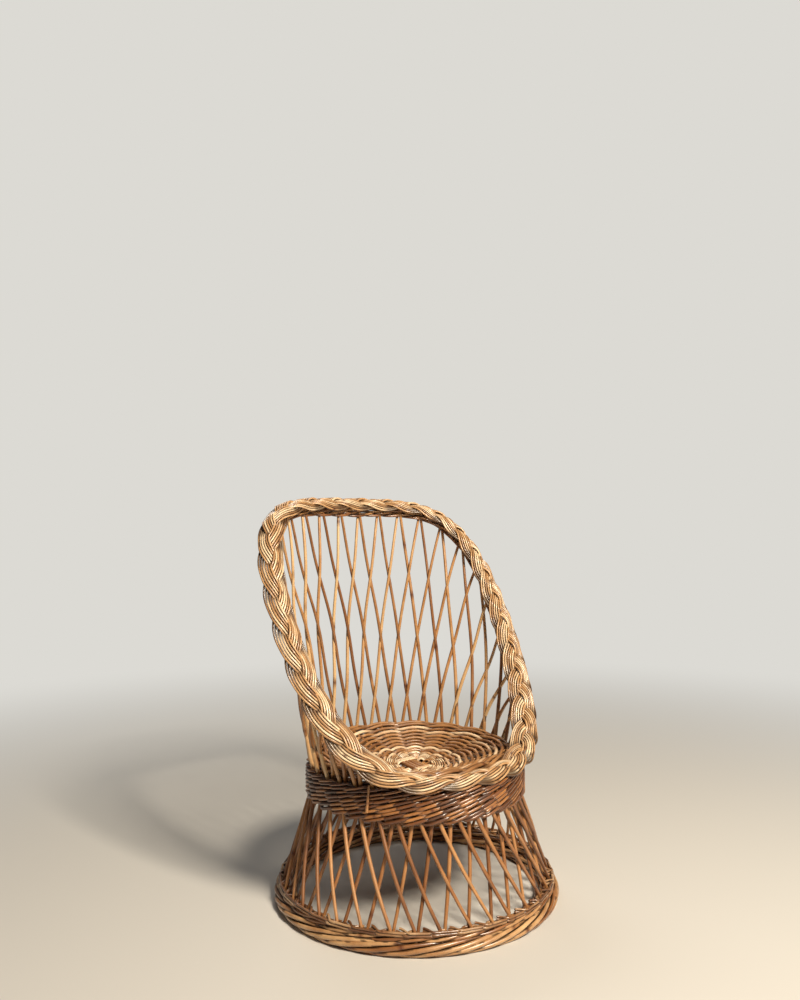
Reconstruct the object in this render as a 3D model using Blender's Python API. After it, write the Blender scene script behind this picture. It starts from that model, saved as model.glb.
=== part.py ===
"""A child's tub chair woven from willow rods, standing on a flared lattice skirt.

Metres, +Z up. The chair faces -Y and stands on z = 0, with its axis through the
origin. Angles are in radians about that axis, from the back (+Y) towards +X.
"""

import math

import bmesh
import bpy
from mathutils import Vector

# Clearances
CLEARANCE = 0.0003
LAYER_GAP = 0.0004
WALE_GAP = 0.0006
BRAID_GAP = 0.0006
SEAT_GAP = 0.0005
SEAT_EDGE_GAP = 0.0015

# Rods
ROD_BUTT = 0.0048
ROD_TIP = 0.0040
ROD_SIDES = 5
PAIR_SPACING = math.radians(10.0)

# Foot border, two rolls of rods side by side with a flatter roll on them, and the
# wale rows above it
FOOT_RADIUS = 0.200
FOOT_BORDER_WIDTH = 0.032
FOOT_BORDER_HEIGHT = 0.024
FOOT_OUTER_ROLL = 0.017
FOOT_TOP_ROLL_WIDTH = 0.019
FOOT_TOP_ROLL_HEIGHT = 0.011
FOOT_WALE_HEIGHT = 0.010
FOOT_WALE_THICKNESS = 0.005

# Skirt lattice: the outer rods lean one way and the inner rods the other
SKIRT_OUTER_LEAN = math.radians(18.0)
SKIRT_INNER_LEAN = math.radians(8.0)
SKIRT_PAIR_GAP = 0.0095
SKIRT_PAIRS_PER_PANEL = 2

# Apron band
APRON_RADIUS = 0.1455
APRON_BOTTOM = 0.140
APRON_HEIGHT = 0.040
APRON_OUTER_THICKNESS = 0.0055
APRON_INNER_THICKNESS = 0.0050
APRON_BATTER = 0.0030

# Seat
SEAT_LAYER = 0.0040
SEAT_STICK = 0.0055
SEAT_STICKS_PER_GROUP = 4
SEAT_STICK_END = 0.004
SEAT_DISH = 0.025
SEAT_BACK_RISE = 0.010
SEAT_LEDGE = 0.010
SEAT_ROWS = 11
SEAT_ROW_RELIEF = 0.0014
SEAT_STICK_RELIEF = 0.0016
SEAT_EYE_RADIUS = 0.032
SEAT_FAN_RADIUS = 0.050

# Back rim, as the centre line of the plaited border
RIM_HALF_WIDTH = 0.190
RIM_WIDEST = 0.045
RIM_BACK = 0.181
RIM_FRONT = 0.139
RIM_RISE = 0.362
RIM_BACK_SQUARENESS = 2.2

# Back lattice
BACK_PAIRS = 26
BACK_PAIRS_PER_PANEL = 2
BACK_PAIR_GAP = 0.0070
BACK_LEAN_SPACINGS = 1.76
BACK_LEAN_FULL = 0.6
BACK_SPREAD = math.radians(4.5)
TOP_WALE_ROD = 0.0052
TOP_WALE_END = math.radians(120.0)

# Plaited border, tilted to the front along the back, turned outward near the front
# of one side and plaited tighter on the other
BRAID_STRANDS = 3
BRAID_TURNS = 10
BRAID_UNEVENNESS = 0.115
BRAID_TILT = math.radians(22.0)
BRAID_TURN_OUT = math.radians(22.0)
BRAID_TURN_OUT_ANGLE = math.radians(-115.0)
BRAID_TURN_OUT_REACH = math.radians(46.0)
BRAID_WIDTH = 0.037
BRAID_STRAND = 0.0072
BRAID_CROSSING_LIFTS = 1.62

# Tail of a border rod, tucked down outside the apron
TAIL_ROD = 0.0042
TAIL_TAPER = 0.7
TAIL_ANGLE = math.radians(-123.0)
TAIL_LENGTH = 0.026

# Fineness of the surfaces and paths
RING_SEGMENTS = 48
FOOT_ROLL_POINTS = 6
SKIRT_STEPS = 3
SEAT_STATIONS = 5
SEAT_STICK_STEPS = 3
BACK_STEPS = 4
TOP_WALE_STEPS = 36
BRAID_POINTS_PER_TURN = 12
RIM_SAMPLES = 1440
RIM_HALVINGS = 48
SHARP_TURN = math.radians(40.0)
WIDE_TURN = math.radians(110.0)
CORNER_SHARE = 0.45
CORNER_BULGE = 0.3

# Derived values
APRON_TOP = APRON_BOTTOM + APRON_HEIGHT
LAYER = ROD_BUTT / 2 + LAYER_GAP
HALF_GAP = LAYER + ROD_BUTT / 2 + WALE_GAP
FOOT_INNER_ROLL = FOOT_BORDER_WIDTH - FOOT_OUTER_ROLL
SKIRT_FOOT_RADIUS = FOOT_RADIUS - FOOT_BORDER_WIDTH / 2
SKIRT_FOOT = FOOT_BORDER_HEIGHT + CLEARANCE + ROD_BUTT / 2
SKIRT_SLOPE = (SKIRT_FOOT_RADIUS - APRON_RADIUS) / (APRON_BOTTOM - FOOT_BORDER_HEIGHT)
SKIRT_TURN = APRON_BOTTOM + APRON_HEIGHT / 2 - CLEARANCE - ROD_BUTT / 2
BACK_TURN = APRON_BOTTOM + APRON_HEIGHT / 2 + CLEARANCE + ROD_BUTT / 2
BRAID_SWAY = (BRAID_WIDTH - BRAID_STRAND) / 2
BRAID_LIFT = (BRAID_STRAND + BRAID_GAP) / BRAID_CROSSING_LIFTS
BRAID_HALF = BRAID_LIFT + BRAID_STRAND / 2
RIM_FRONT_HEIGHT = APRON_TOP + CLEARANCE + BRAID_HALF
SEAT_RADIUS = APRON_RADIUS - LAYER - ROD_BUTT / 2 - SEAT_GAP
SEAT_LEVEL = APRON_TOP + CLEARANCE + SEAT_LAYER + SEAT_GAP + SEAT_STICK / 2

UP = Vector((0.0, 0.0, 1.0))


def clear_scene():
    """Remove every object, so that the chair is alone in the scene."""
    for obj in list(bpy.data.objects):
        bpy.data.objects.remove(obj, do_unlink=True)


def make_material(name, colour, roughness):
    """A Principled material of one colour, given as linear RGB."""
    material = bpy.data.materials.new(name)
    material.use_nodes = True
    shader = material.node_tree.nodes["Principled BSDF"]
    shader.inputs["Base Color"].default_value = (*colour, 1.0)
    shader.inputs["Roughness"].default_value = roughness
    shader.inputs["Metallic"].default_value = 0.0
    return material


def add_object(name, bm, material, parent):
    """Turn a bmesh into a smooth-shaded object with its faces pointing out."""
    bmesh.ops.recalc_face_normals(bm, faces=bm.faces)
    mesh = bpy.data.meshes.new(name)
    bm.to_mesh(mesh)
    bm.free()
    mesh.shade_smooth()
    mesh.set_sharp_from_angle(angle=math.radians(50.0))
    mesh.materials.append(material)
    obj = bpy.data.objects.new(name, mesh)
    bpy.context.scene.collection.objects.link(obj)
    obj.parent = parent
    return obj


def smoothstep(value):
    """Ease from 0 to 1."""
    value = min(max(value, 0.0), 1.0)
    return value * value * (3.0 - 2.0 * value)


def polar(angle, radius, height):
    """The point at an angle from the back, a radius and a height."""
    return Vector((radius * math.sin(angle), radius * math.cos(angle), height))


def rounded_path(points, radius):
    """Cut each sharp corner of a path by two or three points of an arc."""
    path = [points[0]]
    for before, corner, after in zip(points, points[1:], points[2:]):
        arriving = before - corner
        leaving = after - corner
        turn = math.pi - arriving.angle(leaving)
        if turn < SHARP_TURN:
            path.append(corner)
            continue
        cut = min(
            radius * math.tan(turn / 2),
            CORNER_SHARE * arriving.length,
            CORNER_SHARE * leaving.length,
        )
        start = corner + arriving.normalized() * cut
        end = corner + leaving.normalized() * cut
        path.append(start)
        if turn > WIDE_TURN:
            path.append(((start + end) / 2).lerp(corner, CORNER_BULGE))
        path.append(end)
    path.append(points[-1])
    return path


def tube(path, radii, closed=False, side=None):
    """Sweep a round rod along a path, with one radius for each point.

    A side, if given, is the direction in which the first corner of the rod points.
    """
    count = len(path)
    tangents = []
    for i in range(count):
        before = path[i - 1] if i or closed else path[0]
        after = path[(i + 1) % count] if i + 1 < count or closed else path[-1]
        arriving = (path[i] - before).normalized()
        leaving = (after - path[i]).normalized()
        tangents.append((arriving + leaving).normalized())
    side = side or tangents[0].orthogonal().normalized()
    bm = bmesh.new()
    rings = []
    for centre, tangent, radius in zip(path, tangents, radii):
        side = (side - tangent * side.dot(tangent)).normalized()
        other = tangent.cross(side)
        ring = []
        for s in range(ROD_SIDES):
            turn = 2 * math.pi * s / ROD_SIDES
            spoke = side * math.cos(turn) + other * math.sin(turn)
            ring.append(bm.verts.new(centre + spoke * radius))
        rings.append(ring)
    for here, there in zip(rings, rings[1:]):
        for s in range(ROD_SIDES):
            t = (s + 1) % ROD_SIDES
            bm.faces.new((here[s], here[t], there[t], there[s]))
    if not closed:
        bm.faces.new(rings[0])
        bm.faces.new(rings[-1])
        return bm
    last, first = rings[-1], rings[0]
    shift = min(
        range(ROD_SIDES),
        key=lambda k: (last[0].co - first[k].co).length,
    )
    for s in range(ROD_SIDES):
        a = (s + shift) % ROD_SIDES
        b = (s + 1 + shift) % ROD_SIDES
        bm.faces.new((last[s], last[(s + 1) % ROD_SIDES], first[b], first[a]))
    return bm


def turned_ring(profile):
    """Spin a closed profile of (radius, height) points about the chair's axis."""
    bm = bmesh.new()
    verts = [bm.verts.new((r, 0.0, z)) for r, z in profile]
    edges = [bm.edges.new((a, b)) for a, b in zip(verts, verts[1:] + verts[:1])]
    bmesh.ops.spin(
        bm,
        geom=verts + edges,
        cent=(0.0, 0.0, 0.0),
        axis=(0.0, 0.0, 1.0),
        angle=2 * math.pi,
        steps=RING_SEGMENTS,
        use_merge=True,
    )
    bmesh.ops.remove_doubles(bm, verts=bm.verts, dist=1e-6)
    return bm


# Surfaces that the rods follow


def skirt_radius(height):
    """Radius of the skirt's middle surface, upright inside the apron."""
    return APRON_RADIUS + SKIRT_SLOPE * max(APRON_BOTTOM - height, 0.0)


def rim_radius(angle):
    """Distance of the rim from the axis, square-shouldered behind, oval in front."""
    low, high = 0.0, 2.0 * (RIM_HALF_WIDTH + RIM_BACK + RIM_FRONT)
    for _ in range(RIM_HALVINGS):
        radius = (low + high) / 2
        across = abs(radius * math.sin(angle)) / RIM_HALF_WIDTH
        along = radius * math.cos(angle) - RIM_WIDEST
        behind = along > 0.0
        depth = RIM_BACK - RIM_WIDEST if behind else RIM_FRONT + RIM_WIDEST
        power = RIM_BACK_SQUARENESS if behind else 2.0
        if across**power + (abs(along) / depth) ** power > 1.0:
            high = radius
        else:
            low = radius
    return low


def rim_point(angle):
    """Centre line of the plaited border: low in front, high behind."""
    radius = rim_radius(angle)
    share = (radius * math.cos(angle) + RIM_FRONT) / (RIM_BACK + RIM_FRONT)
    return polar(angle, radius, RIM_FRONT_HEIGHT + RIM_RISE * smoothstep(share))


def border_tilt(angle):
    """How far the border's outer edge is turned up, or down where it is negative."""
    tilt = BRAID_TILT * max(math.cos(angle), 0.0) ** 2
    away = math.remainder(angle - BRAID_TURN_OUT_ANGLE, 2 * math.pi)
    share = max(1.0 - abs(away) / BRAID_TURN_OUT_REACH, 0.0)
    return tilt - BRAID_TURN_OUT * smoothstep(share)


def rim_frame(angle):
    """Along, outward and upward directions of the border at an angle."""
    step = math.radians(0.5)
    along = (rim_point(angle + step) - rim_point(angle - step)).normalized()
    level = UP.cross(along).normalized()
    tilt = border_tilt(angle)
    outward = level * math.cos(tilt) + along.cross(level) * math.sin(tilt)
    return along, outward, along.cross(outward)


def back_point(angle, share, offset):
    """A point of the back's surface, from the apron (0) to the rim (1)."""
    foot = polar(angle, APRON_RADIUS, APRON_TOP)
    outward = polar(angle, 1.0, 0.0).lerp(rim_frame(angle)[1], share).normalized()
    return foot.lerp(rim_point(angle), share) + outward * offset


def share_below_rim(angle, depth):
    """How far up the back a rod reaches to end at a depth under the border."""
    stake = rim_point(angle) - polar(angle, APRON_RADIUS, APRON_TOP)
    upward = rim_frame(angle)[2]
    return 1.0 - depth / stake.dot(upward)


# Foot


def roll_arc(middle, half_width, half_height, start, end):
    """Outside of a roll's section, between two directions in degrees above level."""
    points = []
    for i in range(FOOT_ROLL_POINTS):
        turn = math.radians(start + (end - start) * i / (FOOT_ROLL_POINTS - 1))
        radius = middle[0] + half_width * math.cos(turn)
        height = middle[1] + half_height * math.sin(turn)
        points.append((radius, height))
    return points


def build_foot_border(material, parent):
    """The rolled border that the chair stands on, flat underneath."""
    outer = FOOT_OUTER_ROLL / 2
    inner = FOOT_INNER_ROLL / 2
    top_width = FOOT_TOP_ROLL_WIDTH / 2
    top_height = FOOT_TOP_ROLL_HEIGHT / 2
    profile = roll_arc((FOOT_RADIUS - outer, outer), outer, outer, -90.0, 60.0)
    middle = (SKIRT_FOOT_RADIUS, FOOT_BORDER_HEIGHT - top_height)
    profile += roll_arc(middle, top_width, top_height, -30.0, 90.0)
    profile += roll_arc(middle, top_width, top_height, 90.0, 210.0)[1:]
    inside = FOOT_RADIUS - FOOT_BORDER_WIDTH
    profile += roll_arc((inside + inner, inner), inner, inner, 120.0, 270.0)
    add_object("foot_border", turned_ring(profile), material, parent)


def build_foot_wales(material, parent):
    """Wale rows round the feet of the skirt rods, outside and inside them."""
    bottom = FOOT_BORDER_HEIGHT + CLEARANCE
    top = bottom + FOOT_WALE_HEIGHT
    for name, sign in (("foot_wale_outer", 1.0), ("foot_wale_inner", -1.0)):
        near = sign * HALF_GAP * math.hypot(1.0, SKIRT_SLOPE)
        far = near + sign * FOOT_WALE_THICKNESS
        profile = [
            (skirt_radius(bottom) + near, bottom),
            (skirt_radius(bottom) + far, bottom),
            (skirt_radius(top) + far, top),
            (skirt_radius(top) + near, top),
        ]
        add_object(name, turned_ring(profile), material, parent)


# Skirt


def skirt_leg(angle_top, lean, layer):
    """One skirt rod from its foot up into the apron, on one side of the lattice."""
    points = []
    for i in range(SKIRT_STEPS + 1):
        share = i / SKIRT_STEPS
        height = SKIRT_FOOT + (APRON_BOTTOM - SKIRT_FOOT) * share
        angle = angle_top + lean * (1.0 - share)
        points.append(polar(angle, skirt_radius(height) + layer, height))
    points.append(polar(angle_top, APRON_RADIUS + layer, SKIRT_TURN))
    return points


def build_skirt(material, parent):
    """The lattice of paired rods between the foot and the apron."""
    pairs = round(2 * math.pi / PAIR_SPACING)
    half_gap = SKIRT_PAIR_GAP / APRON_RADIUS / 2
    for panel in range(pairs // SKIRT_PAIRS_PER_PANEL):
        path = []
        for place in range(SKIRT_PAIRS_PER_PANEL):
            middle = (panel * SKIRT_PAIRS_PER_PANEL + place + 0.5) * PAIR_SPACING
            inner = skirt_leg(middle + half_gap, SKIRT_INNER_LEAN, -LAYER)
            outer = skirt_leg(middle - half_gap, -SKIRT_OUTER_LEAN, LAYER)
            rising, falling = (outer, inner) if place % 2 else (inner, outer)
            if path:
                path.append(skirt_link(path[-1], rising[0]))
            path += rising + falling[::-1]
        path = rounded_path(path, SKIRT_PAIR_GAP / 2)
        bm = tube(path, [ROD_BUTT / 2] * len(path))
        add_object(f"skirt_lattice_{panel + 1:02d}", bm, material, parent)


def skirt_link(start, end):
    """The stretch where a rod lies along the foot border between two feet."""
    middle = (start + end) / 2
    flat = Vector((middle.x, middle.y, 0.0)).normalized()
    reach = Vector((start.x, start.y, 0.0)).length
    return flat * reach + UP * start.z


# Apron


def build_apron(material, parent):
    """The waled band under the seat, outside and inside the rods that it holds."""
    outer = APRON_RADIUS + HALF_GAP
    inner = APRON_RADIUS - HALF_GAP
    foot = outer + APRON_OUTER_THICKNESS
    outer_profile = [
        (outer, APRON_BOTTOM),
        (foot, APRON_BOTTOM),
        (foot - APRON_BATTER, APRON_TOP),
        (outer, APRON_TOP),
    ]
    inner_profile = [
        (inner - APRON_INNER_THICKNESS, APRON_BOTTOM),
        (inner, APRON_BOTTOM),
        (inner, APRON_TOP),
        (inner - APRON_INNER_THICKNESS, APRON_TOP),
    ]
    add_object("apron_wale_outer", turned_ring(outer_profile), material, parent)
    add_object("apron_wale_inner", turned_ring(inner_profile), material, parent)


# Seat


def seat_rise(angle, share):
    """How far the seat climbs towards the back, at a share of the way to its edge."""
    return SEAT_BACK_RISE * (1.0 + share * math.cos(angle)) / 2


def seat_outline(angle):
    """Edge of the seat: inside the back rods, and clear of the border in front."""
    rim = rim_point(angle)
    share = seat_rise(angle, 1.0) / (rim.z - APRON_TOP)
    rods = SEAT_RADIUS + (rim_radius(angle) - APRON_RADIUS) * share
    border = rim_radius(angle) - BRAID_WIDTH / 2 - SEAT_EDGE_GAP
    return min(rods, border)


def seat_level(angle, radius):
    """Height of the seat sticks' centre line, dished inside a level ledge."""
    edge = seat_outline(angle)
    share = min(radius / (edge - SEAT_LEDGE), 1.0)
    level = SEAT_LEVEL + seat_rise(angle, radius / edge)
    return level - SEAT_DISH * (1.0 - share * share)


def seat_radii(edge, steps):
    """Radii across a layer: even steps over the dish, and two over the ledge."""
    dish = edge - SEAT_LEDGE
    step = (dish - SEAT_EYE_RADIUS) / steps
    radii = [SEAT_EYE_RADIUS + step * i for i in range(steps + 1)]
    return radii + [(dish + edge) / 2, edge]


def seat_layer(lift, steps, row_relief, stick_relief):
    """One woven layer of the seat, a dished plate with an eye in the middle.

    On its upper side every second radius is the crest of a row, and every second
    column runs over a stick.
    """
    bm = bmesh.new()
    columns = []
    segments = 8 * SEAT_STICKS_PER_GROUP
    for s in range(segments):
        angle = 2 * math.pi * s / segments
        column_lift = stick_relief * (s % 2 - 0.5)
        top = []
        bottom = []
        for i, radius in enumerate(seat_radii(seat_outline(angle), steps)):
            height = seat_level(angle, radius) + lift
            crest = SEAT_LAYER / 2 + column_lift + row_relief * (i % 2 - 0.5)
            top.append(bm.verts.new(polar(angle, radius, height + crest)))
            bottom.append(bm.verts.new(polar(angle, radius, height - SEAT_LAYER / 2)))
        columns.append(top + bottom[::-1])
    for here, there in zip(columns, columns[1:] + columns[:1]):
        count = len(here)
        for i in range(count):
            j = (i + 1) % count
            bm.faces.new((here[i], here[j], there[j], there[i]))
    return bm


def seat_stick(group, place):
    """One seat stick: parallel to its group at the eye, then fanned out."""
    ends = SEAT_STICKS_PER_GROUP
    offset = (place - (ends - 1) / 2) * (SEAT_STICK + SEAT_GAP)
    fan = (place - (ends - 1) / 2) * math.pi / (2 * ends)
    lift = (0.5 - group) * (SEAT_STICK + SEAT_GAP)
    axis = group * math.pi / 2
    sideways = polar(axis + math.pi / 2, offset, 0.0)
    crossing = 0.5 * SEAT_EYE_RADIUS
    level = SEAT_EYE_RADIUS - SEAT_STICK / 2
    halves = []
    for sign, end_angle in ((-1.0, axis + math.pi - fan), (1.0, axis + fan)):
        edge = seat_outline(end_angle)
        step = (edge - SEAT_LEDGE - SEAT_FAN_RADIUS) / SEAT_STICK_STEPS
        reaches = [crossing, level]
        reaches += [SEAT_FAN_RADIUS + step * i for i in range(SEAT_STICK_STEPS + 1)]
        reaches += [edge - SEAT_STICK_END]
        half = []
        for reach in reaches:
            spread = smoothstep((reach - crossing) / (SEAT_FAN_RADIUS - crossing))
            straight = polar(axis, sign * reach, 0.0) + sideways
            point = straight.lerp(polar(end_angle, reach, 0.0), spread)
            rise = lift if reach == crossing else 0.0
            point.z = seat_level(end_angle, reach) + rise
            half.append(point)
        halves.append(half)
    path = halves[0][::-1] + halves[1]
    return tube(path, [SEAT_STICK / 2] * len(path))


def build_seat(weave, sticks, parent):
    """The dished seat: two groups of crossed sticks between two woven layers."""
    rise = SEAT_STICK / 2 + SEAT_GAP + SEAT_LAYER / 2
    top = seat_layer(rise, 2 * (SEAT_ROWS - 1), SEAT_ROW_RELIEF, SEAT_STICK_RELIEF)
    add_object("seat_weave_top", top, weave, parent)
    under = seat_layer(-rise, SEAT_STATIONS, 0.0, 0.0)
    add_object("seat_weave_under", under, weave, parent)
    for group, name in enumerate(("long", "cross")):
        for place in range(SEAT_STICKS_PER_GROUP):
            stick = seat_stick(group, place)
            add_object(f"seat_stick_{name}_{place + 1}", stick, sticks, parent)


# Back


def spread_angle(angle):
    """Where a rod's tip lies, with the tips drawn apart along the back of the rim."""
    share = (rim_point(angle).z - RIM_FRONT_HEIGHT) / RIM_RISE
    return angle + BACK_SPREAD * share * math.sin(2.0 * angle)


def back_leg(angle_foot, direction, layer):
    """One back rod from inside the apron up to the border, leaning one way."""
    tallest = rim_point(0.0).z - APRON_TOP
    height = rim_point(angle_foot).z - APRON_TOP
    full = smoothstep(height / (BACK_LEAN_FULL * tallest))
    lean = BACK_LEAN_SPACINGS * PAIR_SPACING * full
    angle_top = spread_angle(angle_foot + direction * lean)
    depth = BRAID_HALF + BRAID_GAP + ROD_TIP / 2
    reach = share_below_rim(angle_top, depth)
    points = [polar(angle_foot, APRON_RADIUS + layer, BACK_TURN)]
    for i in range(BACK_STEPS + 1):
        share = i / BACK_STEPS
        angle = angle_foot + (angle_top - angle_foot) * share
        points.append(back_point(angle, reach * share, layer))
    return points, angle_top


def back_link(angle_a, angle_b, layer):
    """The stretch where a rod's tip lies along the border to the next rod."""
    angle = (angle_a + angle_b) / 2
    depth = BRAID_HALF + BRAID_GAP + ROD_TIP / 2
    return back_point(angle, share_below_rim(angle, depth), layer)


def back_rod_radius(point):
    """Radius of a back rod, which tapers from the apron to the border."""
    rise = min(max((point.z - APRON_TOP) / RIM_RISE, 0.0), 1.0)
    return (ROD_BUTT + (ROD_TIP - ROD_BUTT) * rise) / 2


def build_back(material, parent):
    """The lattice of paired rods between the apron and the plaited border."""
    half_gap = BACK_PAIR_GAP / APRON_RADIUS / 2
    for panel in range(BACK_PAIRS // BACK_PAIRS_PER_PANEL):
        path = []
        last_top = 0.0
        for place in range(BACK_PAIRS_PER_PANEL):
            pair = panel * BACK_PAIRS_PER_PANEL + place
            middle = (pair - (BACK_PAIRS - 1) / 2) * PAIR_SPACING
            falling, falling_top = back_leg(middle - half_gap, -1.0, LAYER)
            rising, rising_top = back_leg(middle + half_gap, 1.0, -LAYER)
            layer = LAYER
            if place % 2:
                falling, rising = rising, falling
                falling_top, rising_top = rising_top, falling_top
                layer = -LAYER
            if path:
                path.append(back_link(last_top, falling_top, layer))
            path += falling[::-1] + rising
            last_top = rising_top
        path = rounded_path(path, BACK_PAIR_GAP / 2)
        radii = [back_rod_radius(point) for point in path]
        add_object(f"back_lattice_{panel + 1:02d}", tube(path, radii), material, parent)


def build_top_wales(material, parent):
    """Wale rows under the border that hold the tips of the back rods."""
    depth = BRAID_HALF + BRAID_GAP + TOP_WALE_ROD / 2
    offset = HALF_GAP + TOP_WALE_ROD / 2
    for name, sign in (("top_wale_outer", 1.0), ("top_wale_inner", -1.0)):
        path = []
        for i in range(TOP_WALE_STEPS + 1):
            angle = TOP_WALE_END * (2.0 * i / TOP_WALE_STEPS - 1.0)
            path.append(back_point(angle, share_below_rim(angle, depth), sign * offset))
        bm = tube(path, [TOP_WALE_ROD / 2] * len(path))
        add_object(name, bm, material, parent)


# Plaited border


def rim_angles(count):
    """Angles that part the rim into equal lengths."""
    step_angle = 2 * math.pi / RIM_SAMPLES
    points = [rim_point(step_angle * i) for i in range(RIM_SAMPLES + 1)]
    lengths = [0.0]
    for a, b in zip(points, points[1:]):
        lengths.append(lengths[-1] + (b - a).length)
    angles = []
    i = 0
    for step in range(count):
        target = lengths[-1] * step / count
        while lengths[i + 1] < target:
            i += 1
        share = (target - lengths[i]) / (lengths[i + 1] - lengths[i])
        angles.append(step_angle * (i + share))
    return angles


def braid_phase(share):
    """How far a strand has swung at a share of the rim, tighter on one side."""
    turn = 2 * math.pi * share
    uneven = BRAID_UNEVENNESS * (1.0 - math.cos(turn))
    return BRAID_TURNS * (turn + uneven)


def build_braid(material, parent):
    """A flat plait of three strands that caps the rim all the way round."""
    count = BRAID_TURNS * BRAID_POINTS_PER_TURN
    angles = rim_angles(count)
    for strand in range(BRAID_STRANDS):
        path = []
        for i, angle in enumerate(angles):
            phase = braid_phase(i / count) + 2 * math.pi * strand / BRAID_STRANDS
            _, outward, upward = rim_frame(angle)
            sway = outward * (BRAID_SWAY * math.sin(phase))
            lift = upward * (BRAID_LIFT * math.sin(2 * phase))
            path.append(rim_point(angle) + sway + lift)
        bm = tube(path, [BRAID_STRAND / 2] * len(path), closed=True)
        add_object(f"border_strand_{strand + 1}", bm, material, parent)


def build_tail(material, parent):
    """The thick end of a border rod, tucked down outside the apron."""
    reach = APRON_RADIUS + HALF_GAP + APRON_OUTER_THICKNESS
    top = APRON_TOP + CLEARANCE
    path = []
    radii = []
    for share in (0.0, 0.5, 1.0):
        drop = TAIL_LENGTH * share
        face = reach - APRON_BATTER * (1.0 - drop / APRON_HEIGHT)
        radii.append(TAIL_ROD / 2 * (TAIL_TAPER + (1.0 - TAIL_TAPER) * share))
        path.append(polar(TAIL_ANGLE, face + CLEARANCE + radii[-1], top - drop))
    bm = tube(path, radii, side=polar(TAIL_ANGLE, -1.0, 0.0))
    add_object("border_tail", bm, material, parent)


def main():
    """Build the whole chair."""
    clear_scene()
    chair = bpy.data.objects.new("chair", None)
    bpy.context.scene.collection.objects.link(chair)
    foot = make_material("foot willow", (0.235, 0.120, 0.050), 0.55)
    skirt = make_material("skirt willow", (0.300, 0.130, 0.045), 0.50)
    apron = make_material("apron willow", (0.270, 0.120, 0.045), 0.50)
    seat = make_material("seat willow", (0.420, 0.230, 0.090), 0.50)
    back = make_material("back willow", (0.340, 0.160, 0.060), 0.50)
    border = make_material("border willow", (0.560, 0.360, 0.160), 0.45)
    build_foot_border(foot, chair)
    build_foot_wales(foot, chair)
    build_skirt(skirt, chair)
    build_apron(apron, chair)
    build_seat(seat, border, chair)
    build_back(back, chair)
    build_top_wales(apron, chair)
    build_braid(border, chair)
    build_tail(back, chair)


if __name__ == "__main__":
    main()
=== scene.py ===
"""Dresses the child's willow tub chair, rod by rod, and sets it on a studio floor.

Metres, +Z up. The chair faces -Y. Angles are in radians about its upright axis, from
the back (+Y) towards +X, as in the frame.
"""

from __future__ import annotations

import logging
import math
import random
from dataclasses import dataclass
from enum import Enum
from itertools import accumulate
from typing import Any, Callable, Optional, Sequence

import bpy
from bpy.types import ID, ColorRamp, Material, Mesh, Node, NodeSocket, NodeTree, Object, World
from mathutils import Matrix, Vector

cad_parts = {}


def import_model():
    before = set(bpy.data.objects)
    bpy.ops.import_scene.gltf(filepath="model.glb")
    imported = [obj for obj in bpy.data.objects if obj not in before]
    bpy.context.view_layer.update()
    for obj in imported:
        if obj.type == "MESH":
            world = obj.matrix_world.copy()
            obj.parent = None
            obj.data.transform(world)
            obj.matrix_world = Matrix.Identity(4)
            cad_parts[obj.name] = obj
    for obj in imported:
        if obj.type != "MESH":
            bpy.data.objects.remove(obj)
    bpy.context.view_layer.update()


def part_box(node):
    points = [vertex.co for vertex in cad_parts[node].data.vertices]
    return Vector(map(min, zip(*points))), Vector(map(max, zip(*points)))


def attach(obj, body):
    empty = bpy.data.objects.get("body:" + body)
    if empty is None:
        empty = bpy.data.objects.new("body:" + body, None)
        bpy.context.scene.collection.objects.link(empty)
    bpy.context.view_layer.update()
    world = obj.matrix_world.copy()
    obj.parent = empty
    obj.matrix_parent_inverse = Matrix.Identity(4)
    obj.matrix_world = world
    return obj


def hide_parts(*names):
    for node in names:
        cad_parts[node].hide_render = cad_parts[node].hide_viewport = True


LOG = logging.getLogger("tub_chair")
MM = 0.001
DEGREE = math.radians(1.0)
TAU = 2.0 * math.pi
UP = Vector((0.0, 0.0, 1.0))
BODY = "root"
MATH = "ShaderNodeMath"
ON_POINTS = {"data_type": "FLOAT", "domain": "POINT"}

Station = Callable[[float, float], tuple[Vector, Vector]]


# Small helpers


def linear_colour(hex_code: str) -> tuple[float, float, float, float]:
    """Turn an sRGB hex colour into linear RGBA.

    Args:
        hex_code: Six hex digits after a hash sign.

    Returns:
        Linear red, green, blue and an alpha of 1.
    """
    channels = []
    for start in (1, 3, 5):
        value = int(hex_code[start:start + 2], 16) / 255.0
        low = value / 12.92
        high = ((value + 0.055) / 1.055) ** 2.4
        channels.append(low if value <= 0.04045 else high)
    return (channels[0], channels[1], channels[2], 1.0)


def add_node(tree: NodeTree, kind: str, inputs: Optional[dict] = None, **settings: Any) -> Node:
    """Add a node with its settings and links.

    Args:
        tree: Tree that gets the node.
        kind: Blender's name for the kind of node.
        inputs: Input name or number to a value, to the socket that feeds it, or to the
            node whose first output in use feeds it.
        settings: Values of the node's own properties.

    Returns:
        The new node.
    """
    node = tree.nodes.new(kind)
    for name, value in settings.items():
        setattr(node, name, value)
    for key, value in (inputs or {}).items():
        if isinstance(value, Node):
            value = next(output for output in value.outputs if output.enabled)
        if isinstance(value, NodeSocket):
            tree.links.new(value, node.inputs[key])
        else:
            node.inputs[key].default_value = value
    return node


def empty_tree(owner: Material | World) -> NodeTree:
    """Give a material or a world a node tree with nothing in it.

    Args:
        owner: The material or the world.

    Returns:
        Its tree.
    """
    owner.use_nodes = True
    owner.node_tree.nodes.clear()
    return owner.node_tree


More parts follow.
